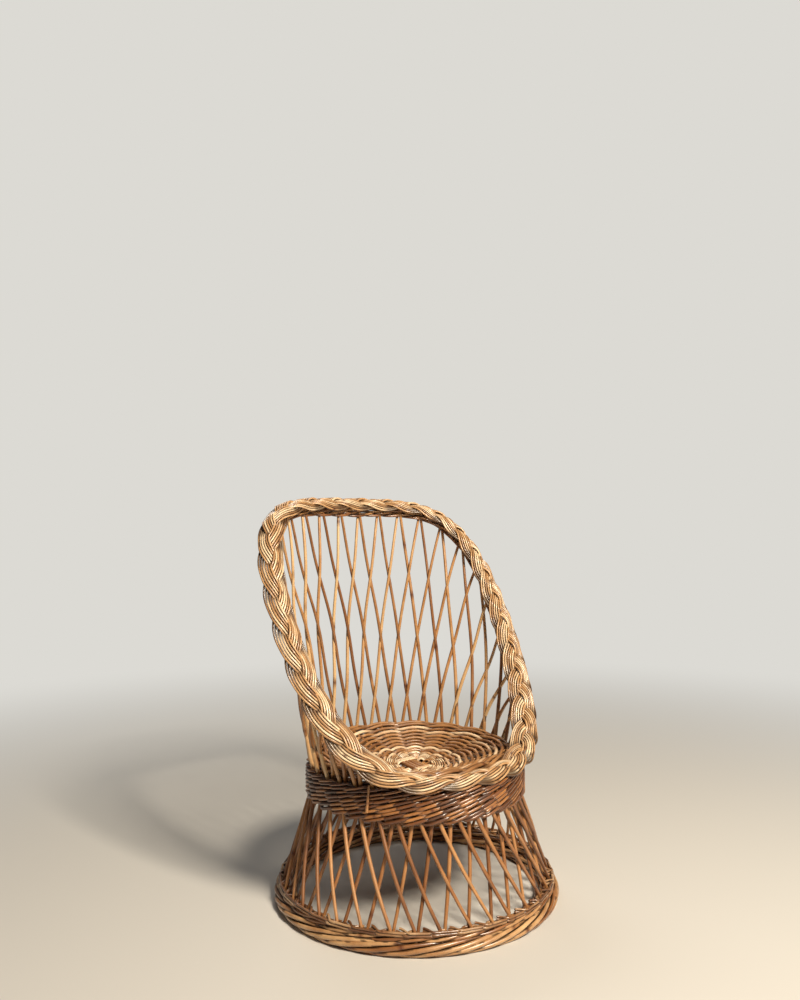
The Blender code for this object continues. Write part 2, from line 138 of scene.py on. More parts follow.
def add_object(name: str, data: ID) -> Object:
    """Put a new object into the scene.

    Args:
        name: Name of the object.
        data: Its mesh, lamp or camera.

    Returns:
        The object, at the origin.
    """
    made = bpy.data.objects.new(name, data)
    bpy.context.scene.collection.objects.link(made)
    return made


def smoothstep(value: float) -> float:
    """Ease from 0 to 1."""
    value = min(max(value, 0.0), 1.0)
    return value * value * (3.0 - 2.0 * value)


def lerp(start: float, end: float, share: float) -> float:
    """Go from start to end by a share."""
    return start + (end - start) * share


def polar(angle: float, radius: float, height: float) -> Vector:
    """The point at an angle from the back, a radius and a height."""
    return Vector((radius * math.sin(angle), radius * math.cos(angle), height))


def backness(angle: float) -> float:
    """1 at the middle of the back, falling to 0 at the sides and in front."""
    return max(math.cos(angle), 0.0) ** 2


def jitter(chance: random.Random, size: float) -> float:
    """Draw a small difference, up to a size either way."""
    return chance.uniform(-size, size)


# Finishes


@dataclass(frozen=True)
class WillowFinish:
    """Peeled willow, boiled buff and varnished: satin, streaked along each rod.

    The eye sees rods of unlike tone, slow changes along each rod, fine fibres, and small
    red-brown marks where side shoots were rubbed off. Painted shade darkens the grooves
    between rods and the places where a rod dives under others.
    """

    name: str
    dark: str
    middle: str
    pale: str
    # Painted shade: the colour mixed in where a rod faces a neighbour close by or lies deep in the
    # weave.
    knot: str = "#5f3016"
    groove_shade: str = "#271206"
    groove_shade_share: float = 0.95
    groove_shade_power: float = 0.32
    roughness: float = 0.36
    smoother: float = 0.08
    rougher: float = 0.12
    coat: float = 0.7
    coat_roughness: float = 0.22
    ior: float = 1.5
    streak_mm: float = 38.0
    streak_shift: float = 57.0
    fibre_mm: float = 0.9
    fibre_depth_mm: float = 0.2
    fibre_bump: float = 0.25
    noise_detail: float = 3.0
    noise_roughness: float = 0.6
    tone_share: float = 0.42
    streak_share: float = 0.38
    dark_place: float = 0.22
    pale_place: float = 0.78

    def build(self) -> Material:
        """Make the material.

        Returns:
            A node material that reads the rod's own attributes.
        """
        material = bpy.data.materials.new(self.name)
        tree = empty_tree(material)
        marks = {}
        for mark in ("tone", "along", "knot", "groove_shade", "sunk"):
            reader = add_node(tree, "ShaderNodeAttribute", attribute_name=mark)
            marks[mark] = reader.outputs["Fac"]
        inputs = {
            "Vector": add_node(tree, "ShaderNodeTexCoord").outputs["Object"],
            "Scale": 1.0 / (self.fibre_mm * MM),
            "Detail": self.noise_detail,
            "Roughness": self.noise_roughness,
        }
        fibre = add_node(tree, "ShaderNodeTexNoise", inputs, noise_dimensions="3D")
        fibre_share = 1.0 - self.tone_share - self.streak_share
        tone = self._tone_value(tree, marks["tone"], marks["along"])
        tone = add_node(tree, MATH, {0: fibre, 1: fibre_share, 2: tone}, operation="MULTIPLY_ADD")
        ramp = add_node(tree, "ShaderNodeValToRGB", {"Fac": tone})
        self._fill_ramp(ramp.color_ramp)
        inputs = {0: marks["knot"], 6: ramp, 7: linear_colour(self.knot)}
        knotty = add_node(tree, "ShaderNodeMix", inputs, data_type="RGBA")
        # Painted shade: darken the colour where the sweep found another rod close by, and where the
        # rod lies deep in the weave.
        painted_shade = add_node(tree, MATH, {0: marks["groove_shade"], 1: self.groove_shade_power}, operation="POWER")
        painted_shade = add_node(tree, MATH, {0: painted_shade, 1: marks["sunk"]}, operation="MAXIMUM")
        painted_shade = add_node(tree, MATH, {0: painted_shade, 1: self.groove_shade_share}, operation="MULTIPLY")
        inputs = {0: painted_shade, 6: knotty, 7: linear_colour(self.groove_shade)}
        shaded_colour = add_node(tree, "ShaderNodeMix", inputs, data_type="RGBA")
        low = self.roughness - self.smoother
        high = self.roughness + self.rougher
        inputs = {"Value": fibre, "To Min": low, "To Max": high}
        rough = add_node(tree, "ShaderNodeMapRange", inputs)
        depth = self.fibre_depth_mm * MM
        inputs = {"Height": fibre, "Strength": self.fibre_bump, "Distance": depth}
        bump = add_node(tree, "ShaderNodeBump", inputs)
        inputs = {
            "Base Color": shaded_colour,
            "Roughness": rough,
            "Normal": bump,
            "IOR": self.ior,
            "Coat Weight": self.coat,
            "Coat Roughness": self.coat_roughness,
        }
        varnish = add_node(tree, "ShaderNodeBsdfPrincipled", inputs)
        add_node(tree, "ShaderNodeOutputMaterial", {"Surface": varnish})
        return material

    def _tone_value(self, tree: NodeTree, tone: NodeSocket, along: NodeSocket) -> Node:
        """Mix each rod's own tone with slow streaks along it.

        Args:
            tree: The material's tree.
            tone: The rod's own tone.
            along: Length of the rod so far.

        Returns:
            The node with the mixed value.
        """
        place = add_node(tree, MATH, {0: tone, 1: self.streak_shift}, operation="MULTIPLY")
        inputs = {0: along, 1: 1.0 / (self.streak_mm * MM), 2: place}
        place = add_node(tree, MATH, inputs, operation="MULTIPLY_ADD")
        inputs = {"W": place, "Scale": 1.0, "Detail": self.noise_detail}
        streak = add_node(tree, "ShaderNodeTexNoise", inputs, noise_dimensions="1D")
        toned = add_node(tree, MATH, {0: tone, 1: self.tone_share}, operation="MULTIPLY")
        inputs = {0: streak, 1: self.streak_share, 2: toned}
        return add_node(tree, MATH, inputs, operation="MULTIPLY_ADD")

    def _fill_ramp(self, ramp: ColorRamp) -> None:
        """Set the ramp's three colours.

        Args:
            ramp: The ramp from dark to pale.
        """
        ramp.elements[0].position = self.dark_place
        ramp.elements[0].color = linear_colour(self.dark)
        ramp.elements[1].position = self.pale_place
        ramp.elements[1].color = linear_colour(self.pale)
        ramp.elements.new(0.5).color = linear_colour(self.middle)


class Willow(Enum):
    """The finishes of the chair's parts, from the foot up."""

    FOOT = WillowFinish("foot willow", "#60381d", "#9d693c", "#e2b985")
    FOOT_ROWS = WillowFinish("foot row willow", "#553320", "#8f643f", "#dcb78b")
    SKIRT = WillowFinish("skirt willow", "#734828", "#a06b3e", "#cb9762")
    APRON = WillowFinish("apron willow", "#442411", "#7b4a25", "#bb8048")
    SEAT = WillowFinish("seat willow", "#6f4425", "#b98755", "#fde2bc")
    STICK = WillowFinish("stick willow", "#7d4f2c", "#a8733f", "#cb9a62")
    BACK = WillowFinish("back willow", "#86562e", "#b88653", "#dfba87")
    # Painted shade: darker than the border's willow, as the row lies in the border's shade.
    TOP_ROW = WillowFinish("top row willow", "#74482a", "#9b683d", "#c3945f")
    BORDER = WillowFinish("border willow", "#7c5130", "#cc9f6d", "#ffe7c2", roughness=0.42)


# Rods and their sweep


@dataclass
class Rod:
    """The path of one rod and its radius at each point.

    Attributes:
        points: Points of the path.
        radii: Radius at each point.
        closed: Whether the path is a loop.
        paler: How much paler the rod is than most.
        sunk: Painted shade at each point, from 0 to 1, deepest where it lies in the weave. Empty for
            a free rod.
    """

    points: list[Vector]
    radii: list[float]
    closed: bool = False
    paler: float = 0.0
    sunk: Sequence[float] = ()

    @classmethod
    def even(cls, points: list[Vector], diameter: float, **more: Any) -> Rod:
        """Make a rod of one thickness."""
        return cls(points, [diameter / 2] * len(points), **more)


class RodSweep:
    """Geometry Nodes tree that turns rod paths into round, knotty willow rods."""

    sides: int = 8
    knot_length: float = 2.2 * MM
    knot_shift: float = 7.0
    groove_reach: float = 3.2 * MM
    groove_start: float = 0.05 * MM

    def __init__(self) -> None:
        """Build the tree once, for all the parts."""
        self.tree = bpy.data.node_groups.new("willow rod sweep", "GeometryNodeTree")
        self._add_sockets()
        self._add_nodes()

    def _add_sockets(self) -> None:
        """Name the tree's inputs and its output."""
        floats = ("Thickness spread", "Knot spacing", "Knot length", "Knot swell", "Groove reach")
        inputs = {"Geometry": "Geometry", "Sides": "Int", "Seed": "Int"}
        inputs.update(dict.fromkeys(floats, "Float"))
        inputs["Material"] = "Material"
        face = self.tree.interface
        for name, kind in inputs.items():
            face.new_socket(name, in_out="INPUT", socket_type="NodeSocket" + kind)
        face.new_socket("Geometry", in_out="OUTPUT", socket_type="NodeSocketGeometry")

    def _add_nodes(self) -> None:
        """Fill the tree: knots, tones, the sweep and the material."""
        tree = self.tree
        given = add_node(tree, "NodeGroupInput").outputs
        path = {}
        for mark in ("rod", "along", "paler", "rod_radius"):
            kind = "INT" if mark == "rod" else "FLOAT"
            inputs = {"Name": mark}
            path[mark] = add_node(tree, "GeometryNodeInputNamedAttribute", inputs, data_type=kind)
        inputs = {"ID": path["rod"], "Seed": given["Seed"]}
        tone = add_node(tree, "FunctionNodeRandomValue", inputs, data_type="FLOAT")
        tone = add_node(tree, MATH, {0: tone, 1: path["paler"]}, operation="ADD")
        inputs["Seed"] = add_node(tree, MATH, {0: given["Seed"], 1: 1.0}, operation="ADD")
        phase = add_node(tree, "FunctionNodeRandomValue", inputs, data_type="FLOAT")
        knot = self._add_knots(phase, path["along"], given["Knot spacing"], given["Knot length"])
        inputs = {0: knot, 1: given["Knot swell"], 2: 1.0}
        swell = add_node(tree, MATH, inputs, operation="MULTIPLY_ADD")
        spread = add_node(tree, MATH, {0: phase, 1: 0.5}, operation="SUBTRACT")
        inputs = {0: spread, 1: given["Thickness spread"], 2: 1.0}
        spread = add_node(tree, MATH, inputs, operation="MULTIPLY_ADD")
        scale = add_node(tree, MATH, {0: path["rod_radius"], 1: swell}, operation="MULTIPLY")
        scale = add_node(tree, MATH, {0: scale, 1: spread}, operation="MULTIPLY")
        rods = add_node(tree, "GeometryNodeMeshToCurve", {"Mesh": given["Geometry"]})
        for mark, value in (("tone", tone), ("knot", knot)):
            inputs = {"Geometry": rods, "Name": mark, "Value": value}
            rods = add_node(tree, "GeometryNodeStoreNamedAttribute", inputs, **ON_POINTS)
        inputs = {"Resolution": given["Sides"], "Radius": 1.0}
        ring = add_node(tree, "GeometryNodeCurvePrimitiveCircle", inputs)
        inputs = {"Curve": rods, "Profile Curve": ring, "Scale": scale, "Fill Caps": True}
        rods = add_node(tree, "GeometryNodeCurveToMesh", inputs)
        for kind in ("GeometryNodeSetShadeSmooth", "GeometryNodeRealizeInstances"):
            rods = add_node(tree, kind, {"Geometry": rods})
        # Painted shade mark: how close another rod lies in front of each point of the surface.
        rods = self._add_groove_shade(rods, given["Groove reach"])
        inputs = {"Geometry": rods, "Material": given["Material"]}
        rods = add_node(tree, "GeometryNodeSetMaterial", inputs)
        add_node(tree, "NodeGroupOutput", {"Geometry": rods})

    def _add_knots(self, phase: Node, along: Node, spacing: NodeSocket, length: NodeSocket) -> Node:
        """Mark the knots along each rod.

        Args:
            phase: Random number of the rod.
            along: Length of the rod so far.
            spacing: Distance between knots.
            length: Distance from a knot's middle to its end.

        Returns:
            The node with the mark: 1 in the middle of a knot, 0 between knots.
        """
        tree = self.tree
        turns = add_node(tree, MATH, {0: along, 1: spacing}, operation="DIVIDE")
        inputs = {0: phase, 1: self.knot_shift, 2: turns}
        turns = add_node(tree, MATH, inputs, operation="MULTIPLY_ADD")
        apart = add_node(tree, MATH, {0: turns}, operation="FRACT")
        apart = add_node(tree, MATH, {0: apart, 1: 0.5}, operation="SUBTRACT")
        apart = add_node(tree, MATH, {0: apart}, operation="ABSOLUTE")
        apart = add_node(tree, MATH, {0: apart, 1: spacing}, operation="MULTIPLY")
        inputs = {"Value": apart, "From Min": 0.0, "From Max": length, "To Min": 1.0, "To Max": 0.0}
        return add_node(tree, "ShaderNodeMapRange", inputs, interpolation_type="SMOOTHSTEP")

    def _add_groove_shade(self, rods: Node, reach: NodeSocket) -> Node:
        """Mark painted shade where a rod's surface faces another rod close by.

        Args:
            rods: The swept rods.
            reach: Distance at which the other rod no longer counts.

        Returns:
            The rods, with the painted shade mark from 0 to 1 on their points.
        """
        tree = self.tree
        normal = add_node(tree, "GeometryNodeInputNormal")
        place = add_node(tree, "GeometryNodeInputPosition")
        inputs = {0: normal, 1: (self.groove_start,) * 3, 2: place}
        start = add_node(tree, "ShaderNodeVectorMath", inputs, operation="MULTIPLY_ADD")
        inputs = {
            "Target Geometry": rods,
            "Source Position": start,
            "Ray Direction": normal,
            "Ray Length": reach,
        }
        ray = add_node(tree, "GeometryNodeRaycast", inputs).outputs
        near = add_node(tree, MATH, {0: ray["Hit Distance"], 1: reach}, operation="DIVIDE")
        near = add_node(tree, MATH, {0: 1.0, 1: near}, operation="SUBTRACT")
        near = add_node(tree, MATH, {0: near, 1: ray["Is Hit"]}, operation="MULTIPLY")
        inputs = {"Geometry": rods, "Name": "groove_shade", "Value": near}
        return add_node(tree, "GeometryNodeStoreNamedAttribute", inputs, **ON_POINTS)

    def sweep(
        self,
        name: str,
        rods: Sequence[Rod],
        material: Material,
        seed: int,
        spread: float = 0.12,
        knot_spacing: float = 85 * MM,
        knot_swell: float = 0.10,
    ) -> Object:
        """Make one piece out of rod paths.

        Args:
            name: Name of the piece.
            rods: Paths of its rods.
            material: The rods' finish.
            seed: Seed of the rods' tones and knots.
            spread: How much the rods differ in thickness, as a share.
            knot_spacing: Distance between knots, in metres.
            knot_swell: How much a knot swells the rod, as a share.

        Returns:
            The piece, a plain mesh at the origin.
        """
        mesh = self._path_mesh(name, rods)
        piece = add_object(name, mesh)
        modifier = piece.modifiers.new("sweep", "NODES")
        modifier.node_group = self.tree
        values = {
            "Sides": self.sides,
            "Seed": seed,
            "Thickness spread": spread,
            "Knot spacing": knot_spacing,
            "Knot length": self.knot_length,
            "Knot swell": knot_swell,
            "Groove reach": self.groove_reach,
            "Material": material,
        }
        for item in self.tree.interface.items_tree:
            if item.in_out == "INPUT" and item.name in values:
                modifier[item.identifier] = values[item.name]
        graph = bpy.context.evaluated_depsgraph_get()
        swept = bpy.data.meshes.new_from_object(piece.evaluated_get(graph), depsgraph=graph)
        swept.name = name
        piece.modifiers.remove(modifier)
        piece.data = swept
        bpy.data.meshes.remove(mesh)
        return piece

    @staticmethod
    def _path_mesh(name: str, rods: Sequence[Rod]) -> Mesh:
        """Lay the rod paths out as a mesh of edges.

        Args:
            name: Name of the mesh.
            rods: Paths of the rods.

        Returns:
            A mesh whose points carry the rod's number, radius, tone, painted shade and length so far.
        """
        points: list[Vector] = []
        edges: list[tuple[int, int]] = []
        values: dict[str, list] = {"rod_radius": [], "rod": [], "along": [], "paler": [], "sunk": []}
        for number, rod in enumerate(rods):
            first = len(points)
            count = len(rod.points)
            edges += [(first + i, first + i + 1) for i in range(count - 1)]
            if rod.closed:
                edges.append((first + count - 1, first))
            lengths = [(there - here).length for here, there in zip(rod.points, rod.points[1:])]
            points += rod.points
            values["rod_radius"] += rod.radii
            values["rod"] += [number] * count
            values["along"] += accumulate(lengths, initial=0.0)
            values["paler"] += [rod.paler] * count
            # Painted shade of each point, 0 for a free rod.
            values["sunk"] += rod.sunk or [0.0] * count
        mesh = bpy.data.meshes.new(name + " paths")
        mesh.from_pydata(points, edges, [])
        for label, column in values.items():
            kind = "INT" if label == "rod" else "FLOAT"
            mesh.attributes.new(label, kind, "POINT").data.foreach_set("value", column)
        return mesh


# The surfaces that the rods follow


@dataclass(frozen=True)
class ChairShape:
    """The chair's main surfaces, worked out from the frame."""

    foot_radius: float
    foot_height: float
    apron_radius: float
    apron_outside: float
    apron_bottom: float
    apron_top: float
    seat_radius: float
    seat_base: float
    rim_front_height: float
    skirt_inset: float = 16 * MM
    rim_half_width: float = 190 * MM
    rim_widest: float = 45 * MM
    rim_back: float = 181 * MM
    rim_front: float = 139 * MM
    rim_rise: float = 362 * MM
    rim_squareness: float = 2.2
    rim_halvings: int = 40
    rim_step: float = 0.5 * DEGREE
    braid_width: float = 37 * MM
    braid_tilt: float = 22 * DEGREE
    turn_out: float = 32 * DEGREE
    turn_out_angle: float = -115 * DEGREE
    turn_out_reach: float = 50 * DEGREE
    seat_dish: float = 25 * MM
    seat_back_rise: float = 10 * MM
    seat_ledge: float = 10 * MM
    seat_clearance: float = 1.5 * MM
    pair_spacing: float = 10 * DEGREE
    layer: float = 2.6 * MM

    @classmethod
    def from_frame(cls) -> ChairShape:
        """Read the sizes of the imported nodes.

        Returns:
            The shape that the rods follow.
        """
        _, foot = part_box("foot_border")
        lowest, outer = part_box("apron_wale_outer")
        _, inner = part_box("apron_wale_inner")
        stake_gap = 5.8 * MM
        seat_gap = 0.1 * MM
        seat_half = 7.55 * MM
        strand_half = 8.4 * MM
        return cls(
            foot_radius=foot[0],
            foot_height=foot[2],
            apron_radius=inner[0] + stake_gap,
            apron_outside=outer[0],
            apron_bottom=lowest[2],
            apron_top=outer[2],
            seat_radius=inner[0] + seat_gap,
            seat_base=outer[2] + seat_half,
            rim_front_height=outer[2] + strand_half,
        )

    @property
    def skirt_foot_radius(self) -> float:
        """Radius at which the skirt meets the foot border."""
        return self.foot_radius - self.skirt_inset

    @property
    def pairs(self) -> int:
        """Number of pairs of rods in a full turn."""
        return round(TAU / self.pair_spacing)

    def skirt_share(self, height: float) -> float:
        """How far down from the apron (0) to the foot (1) a height lies, or further."""
        return max((self.apron_bottom - height) / (self.apron_bottom - self.foot_height), 0.0)

    def skirt_radius(self, height: float) -> float:
        """Radius of the skirt's middle surface at a height."""
        return lerp(self.apron_radius, self.skirt_foot_radius, self.skirt_share(height))

    def rim_radius(self, angle: float) -> float:
        """Find the rim's distance from the axis: square-shouldered behind, oval in front.

        Args:
            angle: Angle from the back.

        Returns:
            The distance.
        """
        low = 0.0
        high = 2.0 * (self.rim_half_width + self.rim_back)
        for _ in range(self.rim_halvings):
            radius = (low + high) / 2
            across = abs(radius * math.sin(angle)) / self.rim_half_width
            along = radius * math.cos(angle) - self.rim_widest
            depth = self.rim_front + self.rim_widest
            power = 2.0
            if along > 0.0:
                depth = self.rim_back - self.rim_widest
                power = self.rim_squareness
            if across**power + (abs(along) / depth) ** power > 1.0:
                high = radius
            else:
                low = radius
        return low

    def rim_point(self, angle: float) -> Vector:
        """Find the centre line of the plaited border: low in front, high behind.

        Args:
            angle: Angle from the back.

        Returns:
            The point.
        """
        radius = self.rim_radius(angle)
        depth = self.rim_back + self.rim_front
        share = (radius * math.cos(angle) + self.rim_front) / depth
        return polar(angle, radius, self.rim_front_height + self.rim_rise * smoothstep(share))

    def rim_height(self, angle: float) -> float:
        """Height of the rim above the apron."""
        return self.rim_point(angle).z - self.apron_top

    def border_tilt(self, angle: float) -> float:
        """Find how far the border's outer edge is turned up.

        Args:
            angle: Angle from the back.

        Returns:
            The turn, negative where the edge is turned down.
        """
        away = math.remainder(angle - self.turn_out_angle, TAU)
        share = max(1.0 - abs(away) / self.turn_out_reach, 0.0)
        return self.braid_tilt * backness(angle) - self.turn_out * smoothstep(share)

    def rim_frame(self, angle: float) -> tuple[Vector, Vector]:
        """Find the directions of the border.

        Args:
            angle: Angle from the back.

        Returns:
            Its outward and its upward direction.
        """
        ahead = self.rim_point(angle + self.rim_step)
        along = (ahead - self.rim_point(angle - self.rim_step)).normalized()
        level = UP.cross(along).normalized()
        tilt = self.border_tilt(angle)
        outward = level * math.cos(tilt) + along.cross(level) * math.sin(tilt)
        return outward, along.cross(outward)

    def back_point(self, angle: float, share: float, offset: float) -> Vector:
        """Find a point of the back's surface.

        Args:
            angle: Angle from the back.
            share: How far up it lies, from the apron (0) to the rim (1).
            offset: Distance outside the surface.

        Returns:
            The point.
        """
        foot = polar(angle, self.apron_radius, self.apron_top)
        outward = polar(angle, 1.0, 0.0).lerp(self.rim_frame(angle)[0], share)
        return foot.lerp(self.rim_point(angle), share) + outward.normalized() * offset

    def share_below_rim(self, angle: float, depth: float) -> float:
        """How far up the back a point lies that is a depth under the border."""
        stake = self.rim_point(angle) - polar(angle, self.apron_radius, self.apron_top)
        return 1.0 - depth / stake.dot(self.rim_frame(angle)[1])

    def seat_rise(self, angle: float, share: float) -> float:
        """How far the seat climbs towards the back, at a share of the way to its edge."""
        return self.seat_back_rise * (1.0 + share * math.cos(angle)) / 2

    def seat_outline(self, angle: float) -> float:
        """Find the seat's edge: inside the back rods, and clear of the border in front.

        Args:
            angle: Angle from the back.

        Returns:
            Its distance from the axis.
        """
        rim = self.rim_radius(angle)
        share = self.seat_rise(angle, 1.0) / self.rim_height(angle)
        rods = self.seat_radius + (rim - self.apron_radius) * share
        return min(rods, rim - self.braid_width / 2 - self.seat_clearance)

    def seat_level(self, angle: float, radius: float) -> float:
        """Find the seat sticks' centre line, dished inside a level ledge.

        Args:
            angle: Angle from the back.
            radius: Distance from the axis.

        Returns:
            Its height.
        """
        edge = self.seat_outline(angle)
        share = min(radius / (edge - self.seat_ledge), 1.0)
        level = self.seat_base + self.seat_rise(angle, radius / edge)
        return level - self.seat_dish * (1.0 - share * share)


# Weaves


@dataclass(frozen=True)
class Wale:
    """Rows of rods woven round stakes, each in front of some and behind others.

    Attributes:
        rod: Diameter of a rod.
        rows: Number of rows.
        row_pitch: Height of a row.
        front_share: Share of the stroke that passes in front.
        outside: Distance of a rod outside the stakes while in front of them.
        inside: Distance of a rod inside the stakes while behind them.
        rise: How far a rod climbs while in front, towards a viewer's right.
        stagger: Share of a stroke by which each row is shifted.
        points_per_stroke: Points of the path in a stroke.
        stakes: Stakes in a full turn.
        rods_per_row: Rods that take turns in one row.
        period: Stakes after which a rod repeats its stroke.
        softness: How gently a rod bends round a stake. At 2 it swings evenly.
        unevenness: How far a rod strays from its row, in diameters.
        deepest_shade: How much painted shade a rod gets where it crosses the stakes.
    """

    rod: float
    rows: int
    row_pitch: float
    front_share: float
    outside: float
    inside: float
    rise: float
    stagger: float
    points_per_stroke: int = 14
    stakes: int = 36
    rods_per_row: int = 2
    period: int = 2
    softness: float = 2.0
    unevenness: float = 0.10
    deepest_shade: float = 0.8

    def rods(self, station: Station, start: float, end: float, seed: int) -> list[Rod]:
        """Lay the rods of all the rows.

        Args:
            station: Gives the stake line's point and outward direction at an angle and a
                height above the lowest row.
            start: Angle at which the rows start.
            end: Angle at which the rows end. A full turn gives closed rods.
            seed: Seed of the small wobbles.

        Returns:
            The rods.
        """
        chance = random.Random(seed)
        closed = abs(end - start - TAU) < 1e-6
        strokes = self.stakes * (end - start) / TAU / self.period
        count = round(strokes * self.points_per_stroke)
        farthest = max(abs(self.outside), abs(self.inside))
        rods = []
        for row in range(self.rows):
            level = (row + 0.5) * self.row_pitch
            for turn in range(self.rods_per_row):
                shift = turn / self.rods_per_row + row * self.stagger
                wobble = [chance.uniform(0.0, TAU) for _ in range(3)]
                points = []
                sunk = []
                for i in range(count + (0 if closed else 1)):
                    angle = lerp(start, end, i / count)
                    phase = (shift - strokes * i / count) % 1.0
                    drift = sum(math.sin((k + 2) * angle + w) for k, w in enumerate(wobble))
                    lift = level + self._climb(phase) + self.unevenness * self.rod * drift
                    point, outward = station(angle, lift)
                    reach = self._reach(phase)
                    points.append(point + outward * reach)
                    # Painted shade, darkest where the rod crosses close to the stakes.
                    sunk.append(self.deepest_shade - self.deepest_shade * abs(reach) / farthest)
                rods.append(Rod.even(points, self.rod, closed=closed, sunk=sunk))
        return rods

    def _reach(self, phase: float) -> float:
        """Find how far out a rod lies.

        Args:
            phase: Point of its stroke, from 0 to 1.

        Returns:
            The distance, negative inside the stakes.
        """
        facing = math.cos(TAU * (phase - self.front_share / 2))
        edge = math.cos(math.pi * self.front_share)
        share = smoothstep(0.5 + (facing - edge) / self.softness)
        return lerp(-self.inside, self.outside, share)

    def _climb(self, phase: float) -> float:
        """Find how far a rod has climbed.

        Args:
            phase: Point of its stroke, from 0 to 1.

        Returns:
            The height above the middle of its row.
        """
        if phase < self.front_share:
            return self.rise * (phase / self.front_share - 0.5)
        back = (phase - self.front_share) / (1.0 - self.front_share)
        return self.rise * (0.5 - back)


@dataclass(frozen=True)
class Roll:
    """Rods wound side by side round a ring, as in a rope.

    Attributes:
        radius: Radius of the ring.
        height: Height of the roll's middle.
        half_width: Half the width of the roll.
        half_height: Half the height of the roll.
        rod: Diameter of a rod.
        count: Number of rods.
        turns: Times that a rod winds round the roll on its way round the ring.
        points: Points of each rod's path.
        unevenness: How far a rod strays from its lay, in radians.
    """

    radius: float
    height: float
    half_width: float
    half_height: float
    rod: float
    count: int
    turns: int = 5
    points: int = 240
    unevenness: float = 0.10

    def rods(self, chance: random.Random) -> list[Rod]:
        """Lay the rods.

        Args:
            chance: Source of the small differences between rods.

        Returns:
            Closed rods.
        """
        across = self.half_width - self.rod / 2
        upright = self.half_height - self.rod / 2
        ease = (across - upright) / (across + upright) / 2
        rods = []
        for number in range(self.count):
            wobble = chance.uniform(0.0, TAU)
            points = []
            for i in range(self.points):
                angle = TAU * i / self.points
                lay = TAU * number / self.count - self.turns * angle
                lay += self.unevenness * math.sin(3.0 * angle + wobble)
                lay += ease * math.sin(2.0 * lay)
                radius = self.radius + across * math.cos(lay)
                points.append(polar(angle, radius, self.height + upright * math.sin(lay)))
            rods.append(Rod.even(points, self.rod, closed=True))
        return rods


# Parts of the chair, from the floor up


@dataclass
class Part:
    """What every part of the chair shares."""

    shape: ChairShape
    sweep: RodSweep

    def make(
        self,
        name: str,
        rods: Sequence[Rod],
        material: Material,
        seed: int,
        slot: str,
        nodes: Sequence[str],
        **look: float,
    ) -> None:
        """Make one piece and hand it over to the frame.

        Args:
            name: Name of the piece.
            rods: Paths of its rods.
            material: The rods' finish.
            seed: Seed of the rods' tones and knots.
            slot: The material slot of its finish. Not used.
            nodes: Nodes of the frame that the piece stands for.
            look: What else the sweep takes.
        """
        piece = self.sweep.sweep(name, rods, material, seed, **look)
        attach(piece, BODY)
        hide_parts(*nodes)
        LOG.info("%s: %d faces for %s", piece.name, len(piece.data.polygons), ", ".join(nodes))


@dataclass
class Lattice(Part):
    """Crossed rods in pairs, with one panel of pairs for each node."""

    pairs_per_panel: int = 2

    def make_panels(self, label: str, finish: Willow, seed: int, pairs: Sequence[list[Rod]]) -> None:
        """Make the panels.

        Args:
            label: Word for the lattice in the names of pieces, nodes and slot.
            finish: The rods' finish.
            seed: Seed of the first panel.
            pairs: The rods of each pair.
        """
        material = finish.value.build()
        for panel in range(len(pairs) // self.pairs_per_panel):
            first = panel * self.pairs_per_panel
            rods = sum(pairs[first:first + self.pairs_per_panel], [])
            name = f"{label}_rods_{panel + 1:02d}"
            nodes = [f"{label}_lattice_{panel + 1:02d}"]
            self.make(name, rods, material, seed + panel, slot=f"{label}_willow", nodes=nodes)


